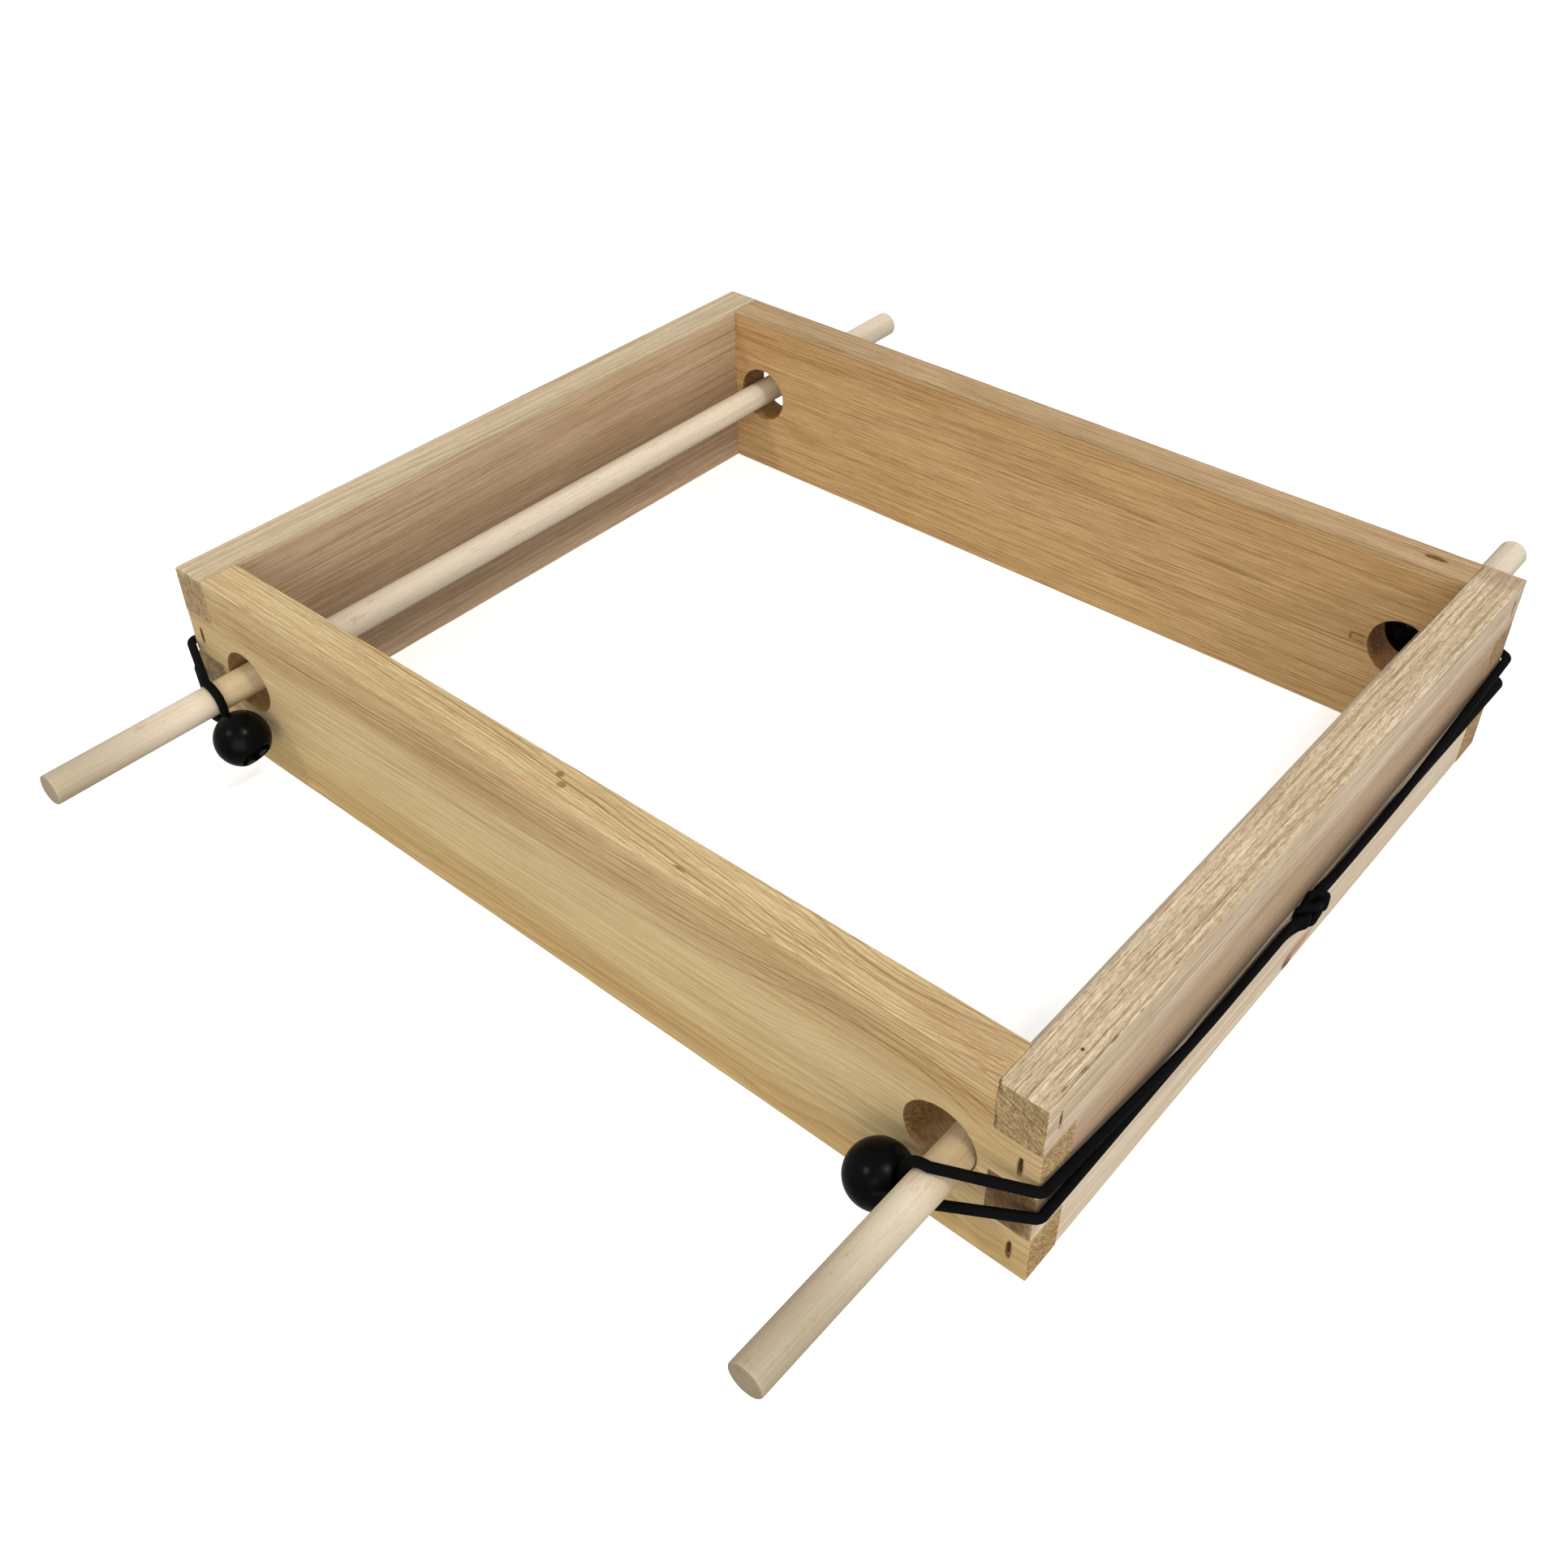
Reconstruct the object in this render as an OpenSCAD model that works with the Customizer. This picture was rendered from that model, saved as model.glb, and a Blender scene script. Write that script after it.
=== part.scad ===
/* [Frame] */
// Length of the front and back boards, across the whole frame
frame_length = 490; // [400:5:620]
// Width of the frame, over the outside of the front and back boards
frame_width = 395; // [300:5:500]
// Height of every board
board_height = 97; // [80:1:130]
// Thickness of every board
board_thick = 20; // [16:0.5:25]
// Fingers in each corner joint, an even number shared by the two boards
finger_count = 4; // [4, 6]

/* [Dowel holes] */
// Diameter of the four holes in the front and back boards
hole_d = 31.75; // [26:0.25:38.25]
// From an end of the frame to the centre of a hole
hole_inset = 41; // [40:0.5:60]

/* [Dowels] */
// Diameter of both dowels
dowel_d = 15; // [12:0.5:18]
// Length of both dowels
dowel_length = 610; // [500:5:760]
// Bevel at the ends of the dowels
dowel_bevel = 0.6; // [0.2:0.1:1.5]
// Axis of the left dowel below the centres of its holes
left_drop = 4; // [0:0.1:4.5]
// Axis of the right dowel below the centres of its holes
right_drop = 2.2; // [0:0.1:4.5]
// Left dowel pushed to the back, and right dowel to the front, by this much
dowel_shift = 5; // [0:1:20]
// Gap left between round parts that rest against each other
rest_gap = 0.3; // [0.2:0.05:0.5]

/* [Ball bungees] */
// Diameter of the four balls
ball_d = 27; // [25:0.5:33]
// Bore through a ball for both strands of its loop
bore_d = 10; // [9.5:0.1:12]
// Diameter of the pocket that hides the knotted ends
pocket_d = 15; // [14:0.5:17]
// From a ball's centre back to the floor of its pocket
pocket_floor = 2; // [1:0.5:4]
// Space between a ball and the dowel it holds, which the two strands spread across
ball_off_dowel = 3; // [2.5:0.1:6]
// Centre of a ball below the axis of its dowel
ball_drop = 12.5; // [0:0.5:15]
// Space between a ball and the face of the board beside it
ball_off_board = 3.8; // [1:0.1:8]
// Diameter of the elastic cord
cord_d = 4.2; // [3.6:0.1:4.4]
// Diameter of the cord where the knot on an end board squeezes it
squeezed_d = 3.4; // [2.8:0.1:3.5]
// Height of the knots on the end boards
knot_height = 43; // [35:1:55]

/* [Staples] */
// Width of a staple over its legs
crown_w = 9.2; // [6:0.2:12]
// Length of the legs of a staple
leg_length = 22; // [16:1:28]
// Thickness of the staple wire
wire_w = 1.2; // [0.8:0.1:1.6]
// Depth of the staples below the faces of the boards
staple_sink = 0.8; // [0.4:0.1:2]
// From a corner of the frame to the staples beside it
staple_inset = 8; // [5:0.5:12]

/* [Hidden] */

// The frame stands on z = 0, with x along its long boards and y from front to back.
// A side is -1 or 1: sx names left or right, and sy names front or back.
LEFT = -1;
RIGHT = 1;
FRONT = -1;
BACK = 1;
half_l = frame_length / 2;
half_w = frame_width / 2;
finger_h = board_height / finger_count;
hole_x = half_l - hole_inset;
hole_z = board_height / 2;
past = 1;

// A staple's legs stop short of the dowel hole beyond them.
tip_clear = 1;
leg = min(leg_length, hole_inset - hole_d / 2 - staple_sink - tip_clear);

// Each dowel rests against the outer wall of its holes, a little below their centres.
seat_r = (hole_d - dowel_d) / 2 - rest_gap;
function drop(sx) = sx == LEFT ? left_drop : right_drop;
function dowel_x(sx) = hole_x + sqrt(seat_r * seat_r - drop(sx) * drop(sx));
function dowel_z(sx) = hole_z - drop(sx);

// A ball stands inboard of its dowel, with its bore pointing at the dowel's axis.
ball_r = ball_d / 2;
ball_stand = ball_r + ball_off_dowel + dowel_d / 2;
ball_back = sqrt(ball_stand * ball_stand - ball_drop * ball_drop);
bore_angle = asin(ball_drop / ball_stand);
ball_y = half_w + ball_off_board + ball_r;

// The knotted cord ends sit on the floor of the pocket, in two turns, and the loop's own
// ends stop just short of them.
cord_r = cord_d / 2;
knot_seat = pocket_floor + rest_gap;
loop_seat = knot_seat - 0.1;
knot_depth = 8;
turn_r = 3.6;

// The two strands of a loop lie side by side in the bore, part round the dowel and go
// round the corner of the frame, whose edge they clear by the same gap as its faces.
strand_off = cord_r + 0.2;
wrap_r = dowel_d / 2 + cord_r + rest_gap;
edge_inset = 1;
edge_r = cord_r + rest_gap + edge_inset * sqrt(2);
strand_spread = 15;
function corner_height(sx, sy) = hole_z + (sx == RIGHT && sy == FRONT ? 1 : -3);

// Half of each loop in the knot: along the face towards the other loop, up, off the face.
// The front loop passes over the back loop's end, under its legs, and over them again.
front_knot = [
    [-30, 2.5, 2.6], [-22, 2.3, 3.2], [-16, 2.0, 5.0], [-11, 1.9, 5.9],
    [-7.5, 1.9, 4.2], [-4, 2.0, 2.2], [0, 3.7, 2.1], [4, 5.4, 2.2],
    [7.5, 5.7, 4.2], [10, 4.4, 5.8], [11, 2.2, 5.9]
];
// The back loop does the same from the other side, with the layers exchanged.
back_knot = [
    [-30, 2.5, 2.6], [-22, 2.3, 2.4], [-16, 2.0, 2.2], [-11, 1.9, 2.1],
    [-7.5, 1.9, 3.8], [-4, 2.0, 5.8], [0, 3.7, 6.0], [4, 5.4, 5.8],
    [7.5, 5.7, 3.8], [10, 4.4, 2.2], [11, 2.2, 2.1]
];
squeezed_from = -20;
knot_steps = 2;
cord_sides = 10;

wood_front = [0.80, 0.68, 0.47];
wood_back = [0.72, 0.56, 0.33];
wood_left = [0.62, 0.50, 0.42];
wood_right = [0.83, 0.74, 0.60];
wood_dowel = [0.86, 0.78, 0.64];
black_plastic = [0.06, 0.06, 0.07];
black_cord = [0.09, 0.09, 0.10];
dark_steel = [0.32, 0.30, 0.28];

// ---------------------------------------------------------------- staples

// A staple driven along +y from a face on y = 0, with its crown upright.
module staple() {
    translate([-wire_w / 2, staple_sink, -crown_w / 2])
        difference() {
            cube([wire_w, leg, crown_w]);
            translate([-past, wire_w, wire_w])
                cube([wire_w + 2 * past, leg, crown_w - 2 * wire_w]);
        }
}

// The staple together with the slot that its crown leaves in the face.
module staple_hole() {
    staple();
    translate([-wire_w / 2, -past, -crown_w / 2])
        cube([wire_w, staple_sink + past, crown_w]);
}

// Places children at every staple of one corner: through the long board's fingers, and
// through the end board's fingers.
module at_corner_staples(sx, sy) {
    for (finger = [0 : finger_count - 1])
        if (finger % 2 == 0)
            translate([sx * (half_l - staple_inset), sy * half_w, (finger + 0.5) * finger_h])
                rotate([0, 0, sy == BACK ? 180 : 0])
                    children();
        else
            translate([sx * half_l, sy * (half_w - staple_inset), (finger + 0.5) * finger_h])
                rotate([0, 0, sx * 90])
                    children();
}

module corner_staples(sx, sy) {
    color(dark_steel)
        at_corner_staples(sx, sy)
            staple();
}

// ---------------------------------------------------------------- boards

// A board along x with its faces on y = 0 and y = board_thick. At both ends every second
// finger is cut away, from first_cut up, for the fingers of the board it meets.
module finger_board(length, first_cut) {
    difference() {
        translate([-length / 2, 0, 0])
            cube([length, board_thick, board_height]);
        for (finger = [first_cut : 2 : finger_count - 1])
            let (
                low = finger == 0 ? -past : finger * finger_h,
                high = finger == finger_count - 1 ? board_height + past : (finger + 1) * finger_h
            )
                for (end = [-1, 1])
                    translate([
                        end * (length / 2 - board_thick / 2 + past / 2),
                        board_thick / 2,
                        (low + high) / 2
                    ])
                        cube([board_thick + past, board_thick + 2 * past, high - low], center = true);
    }
}

// A long board keeps its lowest finger and has a hole for each dowel.
module long_board(sy) {
    difference() {
        translate([0, sy == FRONT ? -half_w : half_w - board_thick, 0])
            finger_board(frame_length, 1);
        for (sx = [LEFT, RIGHT]) {
            translate([sx * hole_x, sy * (half_w - board_thick / 2), hole_z])
                rotate([90, 0, 0])
                    cylinder(h = board_thick + 2 * past, d = hole_d, center = true, $fn = 96);
            at_corner_staples(sx, sy)
                staple_hole();
        }
    }
}

// An end board fits between the long boards' fingers.
module end_board(sx) {
    difference() {
        translate([sx == RIGHT ? half_l : board_thick - half_l, 0, 0])
            rotate([0, 0, 90])
                finger_board(frame_width, 0);
        for (sy = [FRONT, BACK])
            at_corner_staples(sx, sy)
                staple_hole();
    }
}

module front_board() {
    color(wood_front)
        long_board(FRONT);
}

module back_board() {
    color(wood_back)
        long_board(BACK);
}

module left_end_board() {
    color(wood_left)
        end_board(LEFT);
}

module right_end_board() {
    color(wood_right)
        end_board(RIGHT);
}

// ---------------------------------------------------------------- dowels

module dowel(sx) {
    r = dowel_d / 2;
    profile = [
        [0, 0], [r - dowel_bevel, 0], [r, dowel_bevel],
        [r, dowel_length - dowel_bevel], [r - dowel_bevel, dowel_length], [0, dowel_length]
    ];
    color(wood_dowel)
        translate([sx * dowel_x(sx), -sx * dowel_shift - dowel_length / 2, dowel_z(sx)])
            rotate([-90, 0, 0])
                rotate_extrude($fn = 64)
                    polygon(profile);
}

// ---------------------------------------------------------------- balls and cord ends

// Places children, made along z with the bore's mouth up, at one of the four balls.
module at_ball(sx, sy) {
    translate([sx * (dowel_x(sx) - ball_back), sy * ball_y, dowel_z(sx) - ball_drop])
        rotate([0, sx * (90 - bore_angle), 0])
            children();
}

// The ball: a bore from the mouth and a wider pocket from the back.
module ball(sx, sy) {
    color(black_plastic)
        at_ball(sx, sy)
            rotate_extrude($fn = 96)
                difference() {
                    circle(d = ball_d, $fn = 96);
                    translate([-ball_d, -ball_d])
                        square([ball_d, 2 * ball_d]);
                    translate([-past, -ball_d])
                        square([bore_d / 2 + past, 2 * ball_d]);
                    translate([-past, -ball_d])
                        square([pocket_d / 2 + past, ball_d - pocket_floor]);
                }
}

// Both ends of the elastic, knotted together in the pocket: two turns and two cut tips.
module cord_ends(sx, sy) {
    color(black_cord)
        at_ball(sx, sy) {
            rotate_extrude($fn = 48) {
                translate([0, -knot_seat - knot_depth])
                    square([turn_r, knot_depth]);
                for (turn = [0, 1])
                    translate([turn_r, -knot_seat - knot_depth + cord_r + turn * (knot_depth - cord_d)])
                        circle(r = cord_r, $fn = 32);
            }
            for (side = [-1, 1])
                translate([side * strand_off, 0, -knot_seat - knot_depth - 1.4])
                    cylinder(h = 2, r = cord_r - 0.2, $fn = 32);
        }
}

// ---------------------------------------------------------------- elastic loops

function unit(v) = v / norm(v);
function polar(r, angle) = [r * cos(angle), r * sin(angle)];
function reversed(list) = [for (i = [len(list) - 1 : -1 : 0]) list[i]];

// One strand from its end in the ball to the corner of the frame. side is 1 for the strand
// over the dowel and -1 for the strand under it.
function strand(sx, sy, side) =
    let (
        axis = [dowel_x(sx), dowel_z(sx)],
        along = polar(1, bore_angle),
        across = side * polar(1, bore_angle + 90),
        centre = axis - ball_stand * along,
        seat = centre - loop_seat * along + strand_off * across,
        mouth = centre + ball_r * along + strand_off * across,
        meets = bore_angle + 180 - side * (
            atan2(strand_off, ball_stand - ball_r) + acos(wrap_r / norm(mouth - axis))
        ),
        corner = [half_l + cord_r, corner_height(sx, sy) + side * strand_spread / 2],
        reach = corner - axis,
        leaves = atan2(reach.y, reach.x) + side * acos(wrap_r / norm(reach)),
        last = side > 0 ? leaves : leaves + 360,
        wrap_steps = side > 0 ? 4 : 2,
        edge = [half_l - edge_inset, half_w - edge_inset],
        start = [axis.x, ball_y] - edge,
        first_turn = atan2(start.y, start.x) - acos(edge_r / norm(start)),
        edge_steps = 3
    )
    [
        for (p = [seat, mouth])
            [sx * p.x, sy * ball_y, p.y],
        for (i = [0 : wrap_steps])
            let (p = axis + polar(wrap_r, meets + (last - meets) * i / wrap_steps))
                [sx * p.x, sy * ball_y, p.y],
        for (i = [0 : edge_steps])
            let (p = edge + polar(edge_r, first_turn * (1 - i / edge_steps)))
                [sx * p.x, sy * p.y, corner.y]
    ];

// Points of a knot half, placed on the end board.
function knot_half(sx, sy, side) = [
    for (p = sy == FRONT ? front_knot : back_knot)
        [sx * (half_l + p.z), -sy * p.x, knot_height + side * p.y]
];

// A smooth curve through evenly spaced points, with `knot_steps` pieces between each two.
function curve_at(a, b, c, d, t) =
    b + (c - a) * t / 2 + (a * 2 - b * 5 + c * 4 - d) * t * t / 2
    + (b * 3 - a - c * 3 + d) * t * t * t / 2;
function curve(points) =
    let (last = len(points) - 1)
    [
        for (i = [0 : last - 1])
            for (step = [0 : knot_steps - 1])
                curve_at(
                    points[max(i - 1, 0)], points[i], points[i + 1],
                    points[min(i + 2, last)], step / knot_steps
                ),
        points[last]
    ];

// The whole loop, from one end in the ball to the other.
function loop_route(sx, sy) = concat(
    strand(sx, sy, 1),
    curve(concat(knot_half(sx, sy, 1), reversed(knot_half(sx, sy, -1)))),
    reversed(strand(sx, sy, -1))
);

// The cord is thinner inside the knot than along its strands.
function radius_at(p) = -abs(p.y) > squeezed_from ? squeezed_d / 2 : cord_r;

// Direction of the route at point i, and a crosswise direction carried along it.
function heading(route, i) =
    i == 0 ? unit(route[1] - route[0])
    : i == len(route) - 1 ? unit(route[i] - route[i - 1])
    : unit(unit(route[i + 1] - route[i]) + unit(route[i] - route[i - 1]));
function carried(normal, direction) = unit(normal - (normal * direction) * direction);

// A closed tube along a route: one ring of points at each place, joined by triangles.
module tube(route) {
    count = len(route);
    headings = [for (i = [0 : count - 1]) heading(route, i)];
    normals = [
        for (i = 0, n = [0, 1, 0]; i < count;
            i = i + 1, n = i < count ? carried(n, headings[i]) : n)
            n
    ];
    rings = [
        for (i = [0 : count - 1])
            for (k = [0 : cord_sides - 1])
                let (turn = 360 * k / cord_sides)
                    route[i] + radius_at(route[i]) * (
                        cos(turn) * normals[i] + sin(turn) * cross(headings[i], normals[i])
                    )
    ];
    sides = [
        for (i = [0 : count - 2])
            for (k = [0 : cord_sides - 1])
                let (
                    a = i * cord_sides + k,
                    b = i * cord_sides + (k + 1) % cord_sides
                )
                    each [[a, a + cord_sides, b], [b, a + cord_sides, b + cord_sides]]
    ];
    first_cap = [for (k = [0 : cord_sides - 1]) k];
    last_cap = [for (k = [cord_sides - 1 : -1 : 0]) (count - 1) * cord_sides + k];
    polyhedron(points = rings, faces = concat(sides, [first_cap, last_cap]), convexity = 10);
}

module loop(sx, sy) {
    color(black_cord)
        tube(loop_route(sx, sy));
}

// ---------------------------------------------------------------- nodes

front_board();
back_board();
left_end_board();
right_end_board();
corner_staples(LEFT, FRONT);  // front_left_staples
corner_staples(RIGHT, FRONT);  // front_right_staples
corner_staples(LEFT, BACK);  // back_left_staples
corner_staples(RIGHT, BACK);  // back_right_staples
dowel(LEFT);  // left_dowel
dowel(RIGHT);  // right_dowel
ball(LEFT, FRONT);  // front_left_ball
ball(RIGHT, FRONT);  // front_right_ball
ball(LEFT, BACK);  // back_left_ball
ball(RIGHT, BACK);  // back_right_ball
cord_ends(LEFT, FRONT);  // front_left_cord_ends
cord_ends(RIGHT, FRONT);  // front_right_cord_ends
cord_ends(LEFT, BACK);  // back_left_cord_ends
cord_ends(RIGHT, BACK);  // back_right_cord_ends
loop(LEFT, FRONT);  // front_left_loop
loop(RIGHT, FRONT);  // front_right_loop
loop(LEFT, BACK);  // back_left_loop
loop(RIGHT, BACK);  // back_right_loop
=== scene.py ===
import math
import bmesh
import bpy
from mathutils import Matrix, Vector, noise


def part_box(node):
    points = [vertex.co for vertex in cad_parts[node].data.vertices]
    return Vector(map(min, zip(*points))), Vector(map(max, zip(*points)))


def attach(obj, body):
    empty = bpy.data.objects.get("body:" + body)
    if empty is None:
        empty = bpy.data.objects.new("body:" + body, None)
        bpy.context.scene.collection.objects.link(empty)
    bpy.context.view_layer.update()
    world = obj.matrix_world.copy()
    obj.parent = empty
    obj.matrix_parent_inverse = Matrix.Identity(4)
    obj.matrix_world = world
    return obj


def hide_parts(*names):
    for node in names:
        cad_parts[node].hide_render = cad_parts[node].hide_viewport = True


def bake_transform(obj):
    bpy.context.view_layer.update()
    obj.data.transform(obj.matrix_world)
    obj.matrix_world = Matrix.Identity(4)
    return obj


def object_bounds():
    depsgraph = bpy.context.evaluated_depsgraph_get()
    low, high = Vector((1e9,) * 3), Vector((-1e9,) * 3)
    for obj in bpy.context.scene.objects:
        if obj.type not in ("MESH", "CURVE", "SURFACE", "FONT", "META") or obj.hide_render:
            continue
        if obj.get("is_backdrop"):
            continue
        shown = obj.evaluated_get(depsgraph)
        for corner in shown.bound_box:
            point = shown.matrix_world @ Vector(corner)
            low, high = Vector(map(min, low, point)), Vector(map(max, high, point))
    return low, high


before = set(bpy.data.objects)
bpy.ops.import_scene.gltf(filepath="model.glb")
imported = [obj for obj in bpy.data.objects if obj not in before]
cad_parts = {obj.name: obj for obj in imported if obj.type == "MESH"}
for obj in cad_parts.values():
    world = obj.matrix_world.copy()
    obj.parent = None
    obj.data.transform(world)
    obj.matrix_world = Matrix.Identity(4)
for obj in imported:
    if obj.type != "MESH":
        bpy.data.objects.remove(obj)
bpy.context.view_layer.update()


# ---------------------------------------------------------------- camera
# The camera stands 0.8 m from the front right corner and looks down across the open frame.
# Its sensor is 36 mm wide, and the small shift sets the frame a little above the middle.
CAMERA_PLACE = (0.395436, -0.503217, 0.525980)
CAMERA_TURN = (50.2574, 0.6255, 40.8113)

lens = bpy.data.cameras.new("camera")
lens.sensor_width = 36
lens.lens = 37.727
lens.shift_x = 0.00994
lens.shift_y = -0.02593
lens.clip_start = 0.01
camera = bpy.data.objects.new("camera", lens)
camera.location = CAMERA_PLACE
camera.rotation_euler = [math.radians(turn) for turn in CAMERA_TURN]
bpy.context.scene.collection.objects.link(camera)
bpy.context.scene.camera = camera
bpy.context.scene.view_settings.view_transform = "Standard"
bpy.context.scene.view_settings.look = "None"


# ---------------------------------------------------------------- elastic loops
# Four loops of 4 mm shock cord: rubber threads in a braided black polyester sheath.
# Each leaves its ball, goes round the dowel and the corner of the frame, and is joined
# at the middle of the end board to the loop from the other corner with a reef knot.
MM = 0.001
CORD_R = 2.1 * MM
FACE_CORD_R = 1.9 * MM
KNOT_CORD_R = 1.75 * MM
STRAND_OFF = 2.3 * MM
REST_GAP = 0.3 * MM
EDGE_INSET = 1 * MM
LOOP_SEAT = 2.2 * MM
STRAND_SPREAD = 15 * MM
KNOT_HEIGHT = 39 * MM
CORD_SIDES = 20
# Half of each loop in the knot, in mm: towards the other loop, up, and off the board. The
# cord thins from 30 to 18 mm before the middle, and its strands lean apart until 13 mm.
FRONT_KNOT = [
    (-100, 3.6, 2.3), (-88, 2.5, 2.5), (-74, 2.0, 2.7), (-30, 1.95, 2.7),
    (-20, 1.9, 2.7), (-13, 1.85, 3.7), (-8.5, 1.8, 5.7), (-5.6, 1.8, 4.6),
    (-3, 1.85, 2.2), (0, 3.1, 1.9), (3, 4.3, 2.0), (5.4, 4.5, 4.2), (7.2, 3.5, 6.1),
    (7.9, 1.8, 6.3),
]
BACK_KNOT = [
    (-100, 3.6, 2.3), (-88, 2.5, 2.5), (-74, 2.0, 2.7), (-30, 1.95, 2.7),
    (-20, 1.9, 2.5), (-13, 1.85, 2.1), (-8.5, 1.8, 1.9), (-5.6, 1.8, 3.8),
    (-3, 1.85, 6.1), (0, 3.1, 6.3), (3, 4.3, 6.1), (5.4, 4.5, 3.9), (7.2, 3.5, 2.2),
    (7.9, 1.8, 1.9),
]
FRAME_X, FRAME_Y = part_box("front_board")[1].x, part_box("back_board")[1].y
FRAME_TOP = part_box("front_board")[1].z
CORNERS = [(sx, sy) for sx in (-1, 1) for sy in (-1, 1)]


def corner_name(sx, sy):
    return ("front" if sy < 0 else "back") + ("_left" if sx < 0 else "_right")


def side_name(sx):
    return "left" if sx < 0 else "right"


def dowel_axis(sx):
    """The x and z of a dowel's axis, with x counted outwards."""
    low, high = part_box(side_name(sx) + "_dowel")
    return Vector((sx * (low.x + high.x) / 2, (low.z + high.z) / 2))


def ball_centre(sx, sy):
    """The middle of a ball, and its radius. Its box is whole only at the outside and top."""
    low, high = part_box(corner_name(sx, sy) + "_ball")
    radius = (high.y - low.y) / 2
    outer = max(sx * low.x, sx * high.x)
    return Vector((outer - radius, (low.y + high.y) / 2, high.z - radius)), radius


def polar(radius, angle):
    return Vector((radius * math.cos(angle), radius * math.sin(angle)))


def strand(sx, sy, side):
    """A strand from the ball to the corner, over (1) or under (-1) the dowel."""
    axis = dowel_axis(sx)
    ball, ball_r = ball_centre(sx, sy)
    middle = Vector((ball.x, ball.z))
    along = (axis - middle).normalized()
    slope = math.atan2(along.y, along.x)
    across = side * Vector((-along.y, along.x))
    stand = (axis - middle).length
    low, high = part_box(side_name(sx) + "_dowel")
    wrap_r = (high.z - low.z) / 2 + CORD_R + REST_GAP
    seat = middle - LOOP_SEAT * along + STRAND_OFF * across
    mouth = middle + ball_r * along + STRAND_OFF * across
    meets = slope + math.pi - side * (
        math.atan2(STRAND_OFF, stand - ball_r) + math.acos(wrap_r / (mouth - axis).length)
    )
    rise = 1 if (sx, sy) == (1, -1) else -3
    height = FRAME_TOP / 2 + rise * MM + side * STRAND_SPREAD / 2
    reach = Vector((FRAME_X + CORD_R, height)) - axis
    leaves = math.atan2(reach.y, reach.x) + side * math.acos(wrap_r / reach.length)
    leaves += 0 if side > 0 else 2 * math.pi
    edge = Vector((FRAME_X - EDGE_INSET, FRAME_Y - EDGE_INSET))
    edge_r = CORD_R + REST_GAP + EDGE_INSET * math.sqrt(2)
    start = Vector((axis.x, abs(ball.y))) - edge
    first_turn = math.atan2(start.y, start.x) - math.acos(edge_r / start.length)

    points = [(Vector((sx * p.x, ball.y, p.y)), CORD_R) for p in (seat, mouth)]
    wrap_steps = 16 if side > 0 else 6
    for step in range(wrap_steps + 1):
        p = axis + polar(wrap_r, meets + (leaves - meets) * step / wrap_steps)
        points.append((Vector((sx * p.x, ball.y, p.y)), CORD_R))
    for step in range(11):
        share = step / 10
        p = edge + polar(edge_r, first_turn * (1 - share))
        points.append((Vector((sx * p.x, sy * p.y, height)), CORD_R))
    return points


def knot_half(sx, sy, side):
    """The knot's points for one strand, as (point, radius)."""
    points = []
    for toward, up, off in FRONT_KNOT if sy < 0 else BACK_KNOT:
        squeeze = min(1, max(0, (toward + 30) / 12))
        off += 0.3 * side * up * min(1, max(0, (-13 - toward) / 12))
        radius = FACE_CORD_R + (KNOT_CORD_R - FACE_CORD_R) * squeeze
        height = KNOT_HEIGHT + side * up * MM
        points.append((Vector((sx * (FRAME_X + off * MM), -sy * toward * MM, height)), radius))
    return points


def rounded(points, steps):
    """A smooth run through (point, radius) pairs, with this many pieces between each two."""
    last = len(points) - 1
    run = []
    for i in range(last):
        a, b, c, d = [points[min(max(i + k, 0), last)] for k in (-1, 0, 1, 2)]
        for step in range(steps):
            t = step / steps
            place = b[0] + (c[0] - a[0]) * t / 2
            place = place + (a[0] * 2 - b[0] * 5 + c[0] * 4 - d[0]) * t * t / 2
            place = place + (b[0] * 3 - a[0] - c[0] * 3 + d[0]) * t * t * t / 2
            run.append((place, b[1] + (c[1] - b[1]) * t))
    return run + [points[last]]


def add_object(name, mesh):
    piece = bpy.data.objects.new(name, mesh)
    bpy.context.scene.collection.objects.link(piece)
    return piece


def as_mesh(shape, name):
    """The finished shape as a mesh."""
    mesh = bpy.data.meshes.new(name)
    shape.to_mesh(mesh)
    shape.free()
    return mesh


def band(shape, one, two):
    """A ring of faces between two rings of points."""
    after = one[1:] + one[:1], two[1:] + two[:1]
    return [shape.faces.new(corners) for corners in zip(one, after[0], after[1], two)]


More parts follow.
